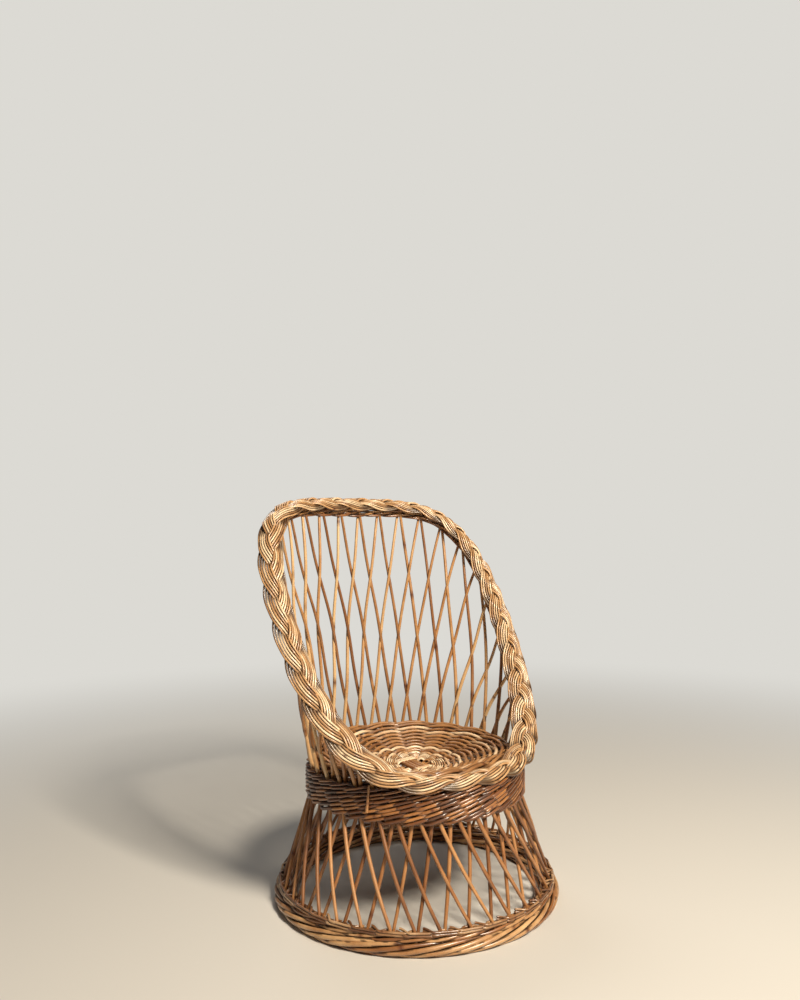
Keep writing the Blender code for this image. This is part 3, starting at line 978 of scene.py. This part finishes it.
@dataclass
class Foot(Part):
    """The rolled border that the chair stands on, and the small rows above it."""

    width: float = 32 * MM
    outer_roll: float = 17 * MM
    top_roll_width: float = 19 * MM
    top_roll_height: float = 11 * MM
    rod: float = 5.5 * MM
    top_rod: float = 4.5 * MM
    small_rod: float = 3.1 * MM
    stroke_start: float = -0.3
    stroke_end: float = 1.4
    stroke_steps: int = 32
    near: float = 0.5 * MM
    far: float = 7.9 * MM
    flare: float = 1.4 * MM
    high: float = 1.8 * MM
    low: float = 0.5 * MM
    sag: float = 0.6 * MM
    stack: float = 0.85
    stack_shift: float = 0.1
    out_way: float = 0.4
    in_start: float = 1.0
    in_way: float = 0.3
    fall_start: float = -0.25
    fall_way: float = 0.5
    flare_way: float = 0.5
    bay_jitter: float = 0.06
    lift_jitter_mm: float = 0.3

    def build(self) -> None:
        """Make the three rolls of the border and the rows above them."""
        shape = self.shape
        outer = self.outer_roll / 2
        inner = (self.width - self.outer_roll) / 2
        flat = self.top_roll_height / 2
        inside = shape.foot_radius - self.width
        wide = self.top_roll_width / 2
        level = shape.foot_height - flat
        rolls = (
            Roll(shape.foot_radius - outer, outer, outer, outer, self.rod, count=6),
            Roll(inside + inner, inner, inner, inner, self.rod, count=5),
            Roll(shape.skirt_foot_radius, level, wide, flat, self.top_rod, count=7),
        )
        chance = random.Random(3)
        rods = []
        for roll in rolls:
            rods += roll.rods(chance)
        finish = Willow.FOOT.value.build()
        nodes = ["foot_border"]
        self.make("foot_border_rods", rods, finish, seed=11, slot="foot_willow", nodes=nodes)
        chance = random.Random(5)
        rods = [self._stroke(bay, place, chance) for bay in range(shape.pairs) for place in range(2)]
        finish = Willow.FOOT_ROWS.value.build()
        nodes = ["foot_wale_outer", "foot_wale_inner"]
        self.make("foot_row_rods", rods, finish, seed=12, slot="foot_willow", nodes=nodes)

    def _stroke(self, bay: int, place: int, chance: random.Random) -> Rod:
        """Lay one short rod: out over the row, slanting down, then level to the next bay.

        Args:
            bay: Number of the bay between two pairs of skirt rods.
            place: 0 for the lower rod of the two that lie side by side, 1 for the upper.
            chance: Source of the small differences between rods.

        Returns:
            The rod.
        """
        shape = self.shape
        wobble = jitter(chance, self.bay_jitter)
        lift = place * self.stack * self.small_rod + jitter(chance, self.lift_jitter_mm) * MM
        points = []
        for i in range(self.stroke_steps + 1):
            along = lerp(self.stroke_start, self.stroke_end, i / self.stroke_steps)
            out = smoothstep((along - self.stroke_start) / self.out_way)
            out -= smoothstep((along - self.in_start) / self.in_way)
            fall = smoothstep((along - self.fall_start) / self.fall_way)
            height = shape.foot_height + lerp(self.high, self.low, fall) - self.sag * along + lift
            reach = lerp(self.near, self.far, out)
            reach += self.flare * (1.0 - smoothstep(along / self.flare_way)) * out
            angle = -(bay + along + wobble + self.stack_shift * place) * shape.pair_spacing
            points.append(polar(angle, shape.skirt_radius(height) + reach, height))
        return Rod.even(points, self.small_rod)


@dataclass
class Skirt(Lattice):
    """The flared lattice: outer rods lean one way, inner rods the other."""

    rod_top: float = 5.7 * MM
    rod_foot: float = 4.3 * MM
    outer_lean: float = 18 * DEGREE
    inner_lean: float = 8 * DEGREE
    pair_gap: float = 9.5 * MM
    tuck: float = 18 * MM
    foot_share: float = 0.6
    angle_jitter_degrees: float = 0.6
    lean_jitter_degrees: float = 0.9
    bow_jitter_mm: float = 1.2
    steps: int = 18

    def build(self) -> None:
        """Make the skirt."""
        chance = random.Random(7)
        half_gap = self.pair_gap / self.shape.apron_radius / 2
        pairs = []
        for pair in range(self.shape.pairs):
            middle = (pair + 0.5) * self.shape.pair_spacing
            inner = self._rod(middle + half_gap, self.inner_lean, -1.0, chance)
            outer = self._rod(middle - half_gap, -self.outer_lean, 1.0, chance)
            pairs.append([inner, outer])
        self.make_panels("skirt", Willow.SKIRT, 20, pairs)

    def _rod(self, angle_top: float, lean: float, side: float, chance: random.Random) -> Rod:
        """Lay one rod from inside the apron down into the foot border.

        Args:
            angle_top: Angle at which it leaves the apron.
            lean: Angle that it gains on its way down.
            side: 1 for the outer layer, -1 for the inner one.
            chance: Source of the small differences between rods.

        Returns:
            The rod.
        """
        shape = self.shape
        high = shape.apron_bottom + self.tuck
        low = self.foot_share * shape.foot_height
        angle_top += jitter(chance, self.angle_jitter_degrees) * DEGREE
        lean += jitter(chance, self.lean_jitter_degrees) * DEGREE
        bow = jitter(chance, self.bow_jitter_mm) * MM
        points = []
        radii = []
        for i in range(self.steps + 1):
            height = lerp(high, low, i / self.steps)
            share = min(shape.skirt_share(height), 1.0)
            radius = shape.skirt_radius(height) + side * shape.layer + bow * math.sin(math.pi * share)
            points.append(polar(angle_top + lean * share, radius, height))
            radii.append(lerp(self.rod_top, self.rod_foot, i / self.steps) / 2)
        return Rod(points, radii)


@dataclass
class Apron(Part):
    """The band under the seat: close rows on both sides of the stakes, thinner on top."""

    rod: float = 4.5 * MM
    rows: int = 6
    thin_rod: float = 3.4 * MM
    thin_rows: int = 3
    thin_height: float = 11 * MM
    hem: float = 2 * MM
    inner_extra: int = 2
    near: float = 2.4 * MM
    far: float = 8.4 * MM
    front_share: float = 0.62
    rise_rows: float = 2.0
    stagger: float = 0.07

    def build(self) -> None:
        """Make the band."""
        shape = self.shape
        stout_height = shape.apron_top - shape.apron_bottom - self.thin_height
        stout_pitch = (stout_height - self.hem) / self.rows
        thin_pitch = self.thin_height / self.thin_rows
        rods = []
        for outer in (True, False):
            thin_rows = self.thin_rows if outer else self.thin_rows + self.inner_extra
            rods += self._rows(self.rod, self.rows, self.hem, stout_pitch, outer)
            rods += self._rows(self.thin_rod, thin_rows, stout_height, thin_pitch, outer)
        finish = Willow.APRON.value.build()
        nodes = ["apron_wale_outer", "apron_wale_inner"]
        self.make("apron_rods", rods, finish, seed=41, slot="apron_willow", nodes=nodes)

    def _rows(self, rod: float, rows: int, start: float, pitch: float, outer: bool) -> list[Rod]:
        """Weave rows of one thickness on one side of the stakes.

        Args:
            rod: Diameter of the rods.
            rows: Number of rows.
            start: Height of the lowest row above the band's lower edge.
            pitch: Height of a row.
            outer: Whether the rows lie outside the stakes.

        Returns:
            The rods.
        """
        shape = self.shape

        def station(angle: float, lift: float) -> tuple[Vector, Vector]:
            """Follow the stakes."""
            height = shape.apron_bottom + start + lift
            return polar(angle, shape.apron_radius, height), polar(angle, 1.0, 0.0)

        band = Wale(
            rod=rod,
            rows=rows,
            row_pitch=pitch,
            front_share=self.front_share,
            outside=self.far if outer else -self.near,
            inside=-self.near if outer else self.far,
            rise=self.rise_rows * pitch,
            stagger=self.stagger,
        )
        return band.rods(station, 0.0, TAU, seed=rows)


@dataclass
class Seat(Part):
    """The dished seat: crossed sticks and pairs of rods twisted round them."""

    stick: float = 5.5 * MM
    stick_end: float = 4.0 * MM
    stick_gap: float = 0.5 * MM
    stick_clearance: float = 4 * MM
    stick_steps: int = 14
    sticks_per_group: int = 4
    crossing: float = 16 * MM
    fan_radius: float = 42 * MM
    rod: float = 4.8 * MM
    rows: int = 11
    inner_row: float = 47 * MM
    depth: float = 2.9 * MM
    fine_rod: float = 2.8 * MM
    fine_rows: int = 6
    fine_start: float = 26 * MM
    fine_pitch: float = 3.2 * MM
    fine_depth: float = 3.2 * MM
    fine_paler: float = 0.4
    twist: float = 0.42
    edge_gap: float = 1 * MM
    weave_lift: float = 1 * MM
    points_per_rib: int = 8
    # Painted shade: how dark a rod is painted where it dips under a stick, and where that shade
    # centres and how it swings.
    deepest_shade: float = 0.85
    shade_middle: float = 0.3
    shade_swing: float = 0.7
    settle_steps: int = 2
    tie_place: float = 22 * MM
    tie_length: float = 46 * MM
    tie_rods: int = 3
    tie_steps: int = 24
    tie_slant: float = 0.12
    tie_lift: float = 0.6 * MM
    tie_dive: float = -2.5 * MM
    tie_flat: float = 0.55
    tie_bend: float = 0.45
    tie_paler: float = 0.6

    def build(self) -> None:
        """Make the sticks and the weave."""
        finish = Willow.STICK.value.build()
        for group, name in enumerate(("long", "cross")):
            for place in range(self.sticks_per_group):
                rods = [self._stick(group, place)]
                seed = 50 + 5 * group + place
                label = f"{name}_{place + 1}"
                nodes = [f"seat_stick_{label}"]
                self.make(f"seat_rib_{label}", rods, finish, seed, slot="border_willow", nodes=nodes)
        rods = []
        for row in range(self.rows):
            rods += self._pair(self.inner_row, row / (self.rows - 1), self.rod, self.depth)
        for row in range(self.fine_rows):
            start = self.fine_start + row * self.fine_pitch
            rods += self._pair(start, 0.0, self.fine_rod, self.fine_depth, self.fine_paler)
        for side in (-1.0, 1.0):
            rods += self._tie(side)
        finish = Willow.SEAT.value.build()
        nodes = ["seat_weave_top", "seat_weave_under"]
        look = {"spread": 0.16}
        self.make("seat_weave_rods", rods, finish, seed=62, slot="seat_willow", nodes=nodes, **look)

    def _tie(self, side: float) -> list[Rod]:
        """Lay the flat tie that crosses the long sticks at one end of the eye.

        Args:
            side: 1 for the tie at the back, -1 for the one in front.

        Returns:
            Thin rods side by side.
        """
        top = self.stick / 2 + self.fine_rod / 2 + self.tie_lift
        rods = []
        for number in range(self.tie_rods):
            middle = number - (self.tie_rods - 1) / 2
            place = side * (self.tie_place + middle * self.fine_rod)
            points = []
            for i in range(self.tie_steps + 1):
                across = 2.0 * i / self.tie_steps - 1.0
                x = across * self.tie_length / 2
                level = self.shape.seat_level(math.atan2(x, place), math.hypot(x, place))
                bend = smoothstep((abs(across) - self.tie_flat) / self.tie_bend)
                level += lerp(top, self.tie_dive, bend)
                points.append(Vector((x, place + self.tie_slant * x, level)))
            rods.append(Rod.even(points, self.fine_rod, paler=self.tie_paler))
        return rods

    def _stick(self, group: int, place: int) -> Rod:
        """Lay one stick: parallel to its group at the eye, then fanned out.

        Args:
            group: 0 for the sticks from front to back, 1 for those across.
            place: Place in the group.

        Returns:
            The stick.
        """
        shape = self.shape
        steps = self.stick_steps
        middle = place - (self.sticks_per_group - 1) / 2
        fan = middle * math.pi / (2 * self.sticks_per_group)
        lift = (0.5 - group) * (self.stick + self.stick_gap)
        axis = group * math.pi / 2
        sideways = polar(axis + math.pi / 2, middle * (self.stick + self.stick_gap), 0.0)
        halves = []
        for sign, end_angle in ((-1.0, axis + math.pi - fan), (1.0, axis + fan)):
            end = shape.seat_outline(end_angle) - self.stick_clearance
            half = []
            for i in range(steps + 1):
                reach = lerp(self.crossing, end, i / steps)
                spread = smoothstep((reach - self.crossing) / (self.fan_radius - self.crossing))
                straight = polar(axis, sign * reach, 0.0) + sideways
                point = straight.lerp(polar(end_angle, reach, 0.0), spread)
                raised = lift * (1.0 - smoothstep(i / self.settle_steps))
                point.z = shape.seat_level(end_angle, reach) + raised
                half.append(point)
            halves.append(half)
        taper = [lerp(self.stick, self.stick_end, i / steps) / 2 for i in range(steps + 1)]
        return Rod(halves[0][::-1] + halves[1], taper[::-1] + taper)

    def _pair(
        self, start: float, share: float, rod: float, depth: float, paler: float = 0.0
    ) -> list[Rod]:
        """Lay one row: two rods that twist round the fanned sticks.

        Args:
            start: Radius of the innermost row.
            share: Place of the row, from the innermost (0) to the edge (1).
            rod: Diameter of the rods.
            depth: How far the rods rise over a stick and dip under it.
            paler: How much paler the rods are than most.

        Returns:
            Two closed rods.
        """
        shape = self.shape
        ribs = 4 * self.sticks_per_group
        count = ribs * self.points_per_rib
        rods = []
        for side in (0.0, 0.5):
            points = []
            sunk = []
            for i in range(count):
                angle = TAU * i / count + math.pi / ribs
                edge = shape.seat_outline(angle) - 0.5 * rod - self.edge_gap
                phase = TAU * (i / (2 * self.points_per_rib) + side)
                radius = lerp(start, edge, share) + self.twist * rod * math.sin(phase)
                level = shape.seat_level(angle, radius) + depth * math.cos(phase)
                points.append(polar(angle, radius, level + self.weave_lift))
                # Painted shade where the rod dips under a stick.
                under = smoothstep(self.shade_middle - self.shade_swing * math.cos(phase))
                sunk.append(self.deepest_shade * under)
            rods.append(Rod.even(points, rod, closed=True, paler=paler, sunk=sunk))
        return rods


@dataclass
class Back(Lattice):
    """The lattice of paired rods between the apron and the plaited border."""

    rod_foot: float = 5.6 * MM
    rod_top: float = 4.4 * MM
    pairs: int = 26
    foot_gap: float = 7.0 * MM
    tucks: tuple[float, ...] = (20 * MM, 8 * MM)
    lean_spacings: float = 1.89
    lean_full: float = 0.6
    lean_jitter_degrees: float = 0.4
    bow_degrees: float = 0.7
    half_weaves: float = 4.0
    swing_gain: float = 2.0
    spread: float = 4.5 * DEGREE
    # Painted light and shade: rods leaning towards larger angles are painted paler, as lit, and those
    # leaning the other way darker, as shaded.
    paler: float = 0.25
    steps: int = 40

    def build(self) -> None:
        """Make the back."""
        chance = random.Random(17)
        half_gap = self.foot_gap / self.shape.apron_radius / 2
        pairs = []
        for pair in range(self.pairs):
            middle = (pair - (self.pairs - 1) / 2) * self.shape.pair_spacing
            pairs.append([self._rod(middle + d * half_gap, d, chance) for d in (-1.0, 1.0)])
        self.make_panels("back", Willow.BACK, 80, pairs)

    def _rod(self, angle_foot: float, direction: float, chance: random.Random) -> Rod:
        """Lay one rod from inside the apron up into the border.

        Args:
            angle_foot: Angle at which it leaves the apron.
            direction: 1 if it leans towards larger angles on its way up, or -1.
            chance: Source of the small differences between rods.

        Returns:
            The rod.
        """
        shape = self.shape
        height = shape.rim_height(angle_foot)
        tall = height / shape.rim_height(0.0)
        lean = self.lean_spacings * shape.pair_spacing * smoothstep(tall / self.lean_full)
        lean += jitter(chance, self.lean_jitter_degrees) * DEGREE
        angle_top = self._spread_angle(angle_foot + direction * lean)
        bow = jitter(chance, 1.0) * self.bow_degrees * DEGREE * tall
        swing = shape.layer * smoothstep(self.swing_gain * tall)
        climb = shape.rim_height(angle_top)
        radius = shape.apron_radius - direction * shape.layer
        points = [polar(angle_foot, radius, shape.apron_top - tuck) for tuck in self.tucks]
        radii = [self.rod_foot / 2] * len(points)
        for i in range(self.steps + 1):
            share = i / self.steps
            angle = lerp(angle_foot, angle_top, share) + bow * math.sin(math.pi * share)
            weave = math.cos(self.half_weaves * math.pi * share * tall)
            way = min(share * climb / shape.rim_height(angle), 1.0)
            points.append(shape.back_point(angle, way, direction * swing * weave))
            radii.append(lerp(self.rod_foot, self.rod_top, share) / 2)
        # Painted light and shade: paler or darker by the way the rod leans.
        return Rod(points, radii, paler=self.paler * direction)

    def _spread_angle(self, angle: float) -> float:
        """Where a tip lies, with the tips drawn apart along the back of the rim."""
        share = (self.shape.rim_point(angle).z - self.shape.rim_front_height) / self.shape.rim_rise
        return angle + self.spread * share * math.sin(2.0 * angle)


@dataclass
class TopRow(Part):
    """The thin row that ties the back rods just under the border, painted darker than the border as
    shade.
    """

    rod: float = 3.9 * MM
    rows: int = 4
    row_pitch: float = 3.1 * MM
    front_share: float = 0.5
    reach: float = 3.6 * MM
    rise: float = 1.6 * MM
    stagger: float = 0.25
    points_per_stroke: int = 16
    depth: float = 15.5 * MM
    end: float = 120 * DEGREE

    def build(self) -> None:
        """Make the row."""
        shape = self.shape

        def station(angle: float, lift: float) -> tuple[Vector, Vector]:
            """Follow the back's surface just under the border."""
            share = shape.share_below_rim(angle, self.depth - lift)
            return shape.back_point(angle, share, 0.0), shape.rim_frame(angle)[0]

        row = Wale(
            rod=self.rod,
            rows=self.rows,
            row_pitch=self.row_pitch,
            front_share=self.front_share,
            outside=self.reach,
            inside=self.reach,
            rise=self.rise,
            stagger=self.stagger,
            points_per_stroke=self.points_per_stroke,
        )
        rods = row.rods(station, -self.end, self.end, seed=21)
        finish = Willow.TOP_ROW.value.build()
        nodes = ["top_wale_outer", "top_wale_inner"]
        self.make("top_row_rods", rods, finish, seed=101, slot="apron_willow", nodes=nodes)


@dataclass
class PlaitedBorder(Part):
    """The plait of three flat strands, each a bundle of thin rods, on the rim."""

    strands: int = 3
    turns: int = 10
    unevenness: float = 0.115
    rods_per_strand: int = 6
    rod: float = 3.1 * MM
    pitch: float = 3.4 * MM
    sway: float = 10.0 * MM
    lift: float = 3.5 * MM
    crown: float = 1.2 * MM
    bank: float = 35 * DEGREE
    bank_lead: float = 0.8
    bank_inside: float = 0.45
    back_lift: float = 5.5 * MM
    snap: float = 0.2
    # Painted shade: how dark a strand is painted where it runs low under the others, and where that
    # shade centres.
    deepest_shade: float = 0.85
    shade_middle: float = 0.2
    knot_spacing: float = 190 * MM
    knot_swell: float = 0.04
    points_per_turn: int = 30
    rim_parts: int = 1440

    def build(self) -> None:
        """Make the strands, one for each node."""
        finish = Willow.BORDER.value.build()
        look = {"knot_spacing": self.knot_spacing, "knot_swell": self.knot_swell}
        angles = self._even_angles(self.turns * self.points_per_turn)
        for strand in range(self.strands):
            rods = self._strand(strand, angles)
            name = f"border_rods_{strand + 1}"
            nodes = [f"border_strand_{strand + 1}"]
            seed = 110 + strand
            self.make(name, rods, finish, seed, slot="border_willow", nodes=nodes, **look)

    def _even_angles(self, count: int) -> list[float]:
        """Find the angles that part the rim into equal lengths.

        Args:
            count: Number of parts.

        Returns:
            The angles, from the back round by the sitter's left.
        """
        fine = self.rim_parts
        points = [self.shape.rim_point(TAU * i / fine) for i in range(fine + 1)]
        steps = [(there - here).length for here, there in zip(points, points[1:])]
        lengths = list(accumulate(steps, initial=0.0))
        angles = []
        i = 0
        for step in range(count):
            target = lengths[-1] * step / count
            while lengths[i + 1] < target:
                i += 1
            share = (target - lengths[i]) / (lengths[i + 1] - lengths[i])
            angles.append(TAU * (i + share) / fine)
        return angles

    def _strand(self, strand: int, angles: Sequence[float]) -> list[Rod]:
        """Lay the rods of one strand side by side.

        Args:
            strand: Number of the strand.
            angles: Angles of the points along the rim.

        Returns:
            The strand's closed rods.
        """
        half = (self.rods_per_strand - 1) / 2
        centres = []
        normals = []
        banks = []
        sunk = []
        for i, angle in enumerate(angles):
            turn = TAU * i / len(angles)
            phase = self.turns * (turn + self.unevenness * (1.0 - math.cos(turn)))
            phase += TAU * strand / self.strands
            outward, upward = self.shape.rim_frame(angle)
            reach = self.sway * math.sin(phase + self.snap * math.sin(2.0 * phase))
            bank = self._bank(phase, angle)
            drop = 0.5 * half * self.pitch * abs(math.sin(bank))
            height = self.lift * math.sin(2.0 * phase) - drop + self.back_lift * backness(angle)
            centres.append(self.shape.rim_point(angle) + outward * reach + upward * height)
            normals.append(upward)
            banks.append(bank)
            # Painted shade where the strand runs low, under the others.
            sunk.append(self.deepest_shade * smoothstep(self.shade_middle - math.sin(2.0 * phase)))
        rods = []
        for place in range(self.rods_per_strand):
            across = (place - half) / half
            points = []
            for i, centre in enumerate(centres):
                heading = (centres[(i + 1) % len(centres)] - centres[i - 1]).normalized()
                side = normals[i].cross(heading).normalized()
                top = heading.cross(side)
                flat = side * math.cos(banks[i]) - top * math.sin(banks[i])
                face = top * math.cos(banks[i]) + side * math.sin(banks[i])
                offset = flat * (across * half * self.pitch)
                points.append(centre + offset + face * (self.crown * (1.0 - across * across)))
            rods.append(Rod.even(points, self.rod, closed=True, sunk=sunk))
        return rods

    def _bank(self, phase: float, angle: float) -> float:
        """Find how far a strand leans over the edge, least on the inner edge in front.

        Args:
            phase: How far the strand has swung.
            angle: Angle from the back.

        Returns:
            The lean.
        """
        swing = math.sin(phase)
        share = swing * abs(swing) + self.bank_lead * swing * swing * math.cos(phase)
        if share < 0.0:
            share *= lerp(self.bank_inside, 1.0, smoothstep(0.5 + math.cos(angle)))
        return self.bank * share


@dataclass
class Tail(Part):
    """The thick end of a border rod, tucked down outside the apron."""

    angle: float = -123 * DEGREE
    slant: float = 0.01
    length: float = 26 * MM
    tuck: float = 6 * MM
    sunk: float = 2.0 * MM
    proud: float = 2.2 * MM
    rod: float = 4.4 * MM
    tip: float = 0.6
    steps: int = 12

    def build(self) -> None:
        """Make the tail."""
        shape = self.shape
        points = []
        radii = []
        for i in range(self.steps + 1):
            share = i / self.steps
            radius = shape.apron_outside + lerp(-self.sunk, self.proud, share)
            height = shape.apron_top + self.tuck - (self.length + self.tuck) * share
            points.append(polar(self.angle + self.slant * share, radius, height))
            radii.append(self.rod / 2 * lerp(self.tip, 1.0, share))
        rods = [Rod(points, radii)]
        finish = Willow.BACK.value.build()
        nodes = ["border_tail"]
        self.make("border_tail_rod", rods, finish, seed=131, slot="back_willow", nodes=nodes)


# Studio


@dataclass(frozen=True)
class Softbox:
    """A large soft lamp that points at the chair."""

    name: str
    place: tuple[float, float, float]
    size: float
    watts: float
    colour: str

    def build(self, target: Vector) -> None:
        """Hang the lamp.

        Args:
            target: Point that it faces.
        """
        lamp = bpy.data.lights.new(self.name, "AREA")
        lamp.shape = "SQUARE"
        lamp.size = self.size
        lamp.energy = self.watts
        lamp.color = linear_colour(self.colour)[:3]
        facing = (target - Vector(self.place)).to_track_quat("-Z", "Y")
        turn = facing.to_matrix().to_4x4()
        add_object(self.name, lamp).matrix_world = Matrix.Translation(self.place) @ turn


@dataclass(frozen=True)
class Studio:
    """Plain floor, soft light and the camera."""

    lamps: tuple[Softbox, ...] = (
        Softbox("key softbox", (0.1, -1.8, 1.95), 0.5, 93.0, "#fff1dc"),
        Softbox("fill softbox", (-1.9, -0.6, 1.6), 1.4, 1.5, "#fff4e6"),
        Softbox("rim softbox", (0.4, 1.7, 2.1), 0.9, 11.0, "#fffaf2"),
    )
    lamp_target: tuple[float, float, float] = (0.0, 0.0, 0.25)
    floor_colour: str = "#d4d2cd"
    floor_roughness: float = 0.85
    floor_radius: float = 30.0
    floor_sides: int = 64
    backdrop_colour: str = "#dcdad4"
    fade_start: float = 0.4
    fade_end: float = 2.2
    sky_strength: float = 0.065
    azimuth: float = -34.18 * DEGREE
    distance: float = 1.1639
    height: float = 0.4984
    sideways: float = 0.0175
    pitch: float = 2.61 * DEGREE
    roll: float = -0.56 * DEGREE
    lens_mm: float = 28.8
    sensor_mm: float = 36.0
    clip_start: float = 0.01

    def build(self) -> None:
        """Set the stage, the lamps and the camera."""
        bpy.context.scene.view_settings.view_transform = "Standard"
        self._build_floor()
        self._build_world()
        for lamp in self.lamps:
            lamp.build(Vector(self.lamp_target))
        self._build_camera()

    def _build_floor(self) -> None:
        """Lay a plain pale floor that fades into the backdrop."""
        mesh = bpy.data.meshes.new("studio_floor")
        sides = range(self.floor_sides)
        corners = [polar(-TAU * i / self.floor_sides, self.floor_radius, 0.0) for i in sides]
        mesh.from_pydata(corners, [], [tuple(sides)])
        mesh.materials.append(self._floor_material())
        floor = add_object("studio_floor", mesh)

    def _floor_material(self) -> Material:
        """Make the floor's matt paint.

        Returns:
            Paint near the chair, and the backdrop's own tone further out.
        """
        material = bpy.data.materials.new("matt painted floor")
        tree = empty_tree(material)
        place = add_node(tree, "ShaderNodeTexCoord").outputs["Object"]
        apart = add_node(tree, "ShaderNodeVectorMath", {0: place}, operation="LENGTH")
        inputs = {"Value": apart, "From Min": self.fade_start, "From Max": self.fade_end}
        fade = add_node(tree, "ShaderNodeMapRange", inputs, interpolation_type="SMOOTHSTEP")
        seen = add_node(tree, "ShaderNodeLightPath").outputs["Is Camera Ray"]
        share = add_node(tree, MATH, {0: fade, 1: seen}, operation="MULTIPLY")
        inputs = {"Base Color": linear_colour(self.floor_colour), "Roughness": self.floor_roughness}
        paint = add_node(tree, "ShaderNodeBsdfPrincipled", inputs)
        inputs = {"Color": linear_colour(self.backdrop_colour), "Strength": 1.0}
        backdrop = add_node(tree, "ShaderNodeEmission", inputs)
        mixed = add_node(tree, "ShaderNodeMixShader", {0: share, 1: paint, 2: backdrop})
        add_node(tree, "ShaderNodeOutputMaterial", {"Surface": mixed})
        return material

    def _build_world(self) -> None:
        """Light the room evenly, with a pale backdrop for the camera."""
        world = bpy.data.worlds.new("studio")
        bpy.context.scene.world = world
        tree = empty_tree(world)
        seen = add_node(tree, "ShaderNodeLightPath").outputs["Is Camera Ray"]
        inputs = {"Color": (1.0, 1.0, 1.0, 1.0), "Strength": self.sky_strength}
        sky = add_node(tree, "ShaderNodeBackground", inputs)
        inputs = {"Color": linear_colour(self.backdrop_colour), "Strength": 1.0}
        backdrop = add_node(tree, "ShaderNodeBackground", inputs)
        mixed = add_node(tree, "ShaderNodeMixShader", {0: seen, 1: sky, 2: backdrop})
        add_node(tree, "ShaderNodeOutputWorld", {"Surface": mixed})

    def _build_camera(self) -> None:
        """Place the camera at the photograph's viewing angle."""
        right = Vector((math.cos(self.azimuth), math.sin(self.azimuth), 0.0))
        ahead = Vector((-math.sin(self.azimuth), math.cos(self.azimuth), 0.0))
        place = -ahead * self.distance - right * self.sideways + UP * self.height
        forward = ahead * math.cos(self.pitch) + UP * math.sin(self.pitch)
        above = UP * math.cos(self.pitch) - ahead * math.sin(self.pitch)
        x_axis = right * math.cos(self.roll) + above * math.sin(self.roll)
        y_axis = above * math.cos(self.roll) - right * math.sin(self.roll)
        camera = bpy.data.cameras.new("camera")
        camera.sensor_fit = "AUTO"
        camera.sensor_width = self.sensor_mm
        camera.lens = self.lens_mm
        camera.clip_start = self.clip_start
        holder = add_object("camera", camera)
        turn = Matrix((x_axis, y_axis, -forward)).transposed().to_4x4()
        holder.matrix_world = Matrix.Translation(place) @ turn
        bpy.context.scene.camera = holder


def main() -> None:
    """Load the frame, dress the chair and set the studio."""
    logging.basicConfig(level=logging.INFO, format="%(name)s: %(message)s")
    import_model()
    shape = ChairShape.from_frame()
    sweep = RodSweep()
    for part in (Foot, Skirt, Apron, Seat, Back, TopRow, PlaitedBorder, Tail):
        part(shape, sweep).build()
    Studio().build()


if __name__ == "__main__":
    main()
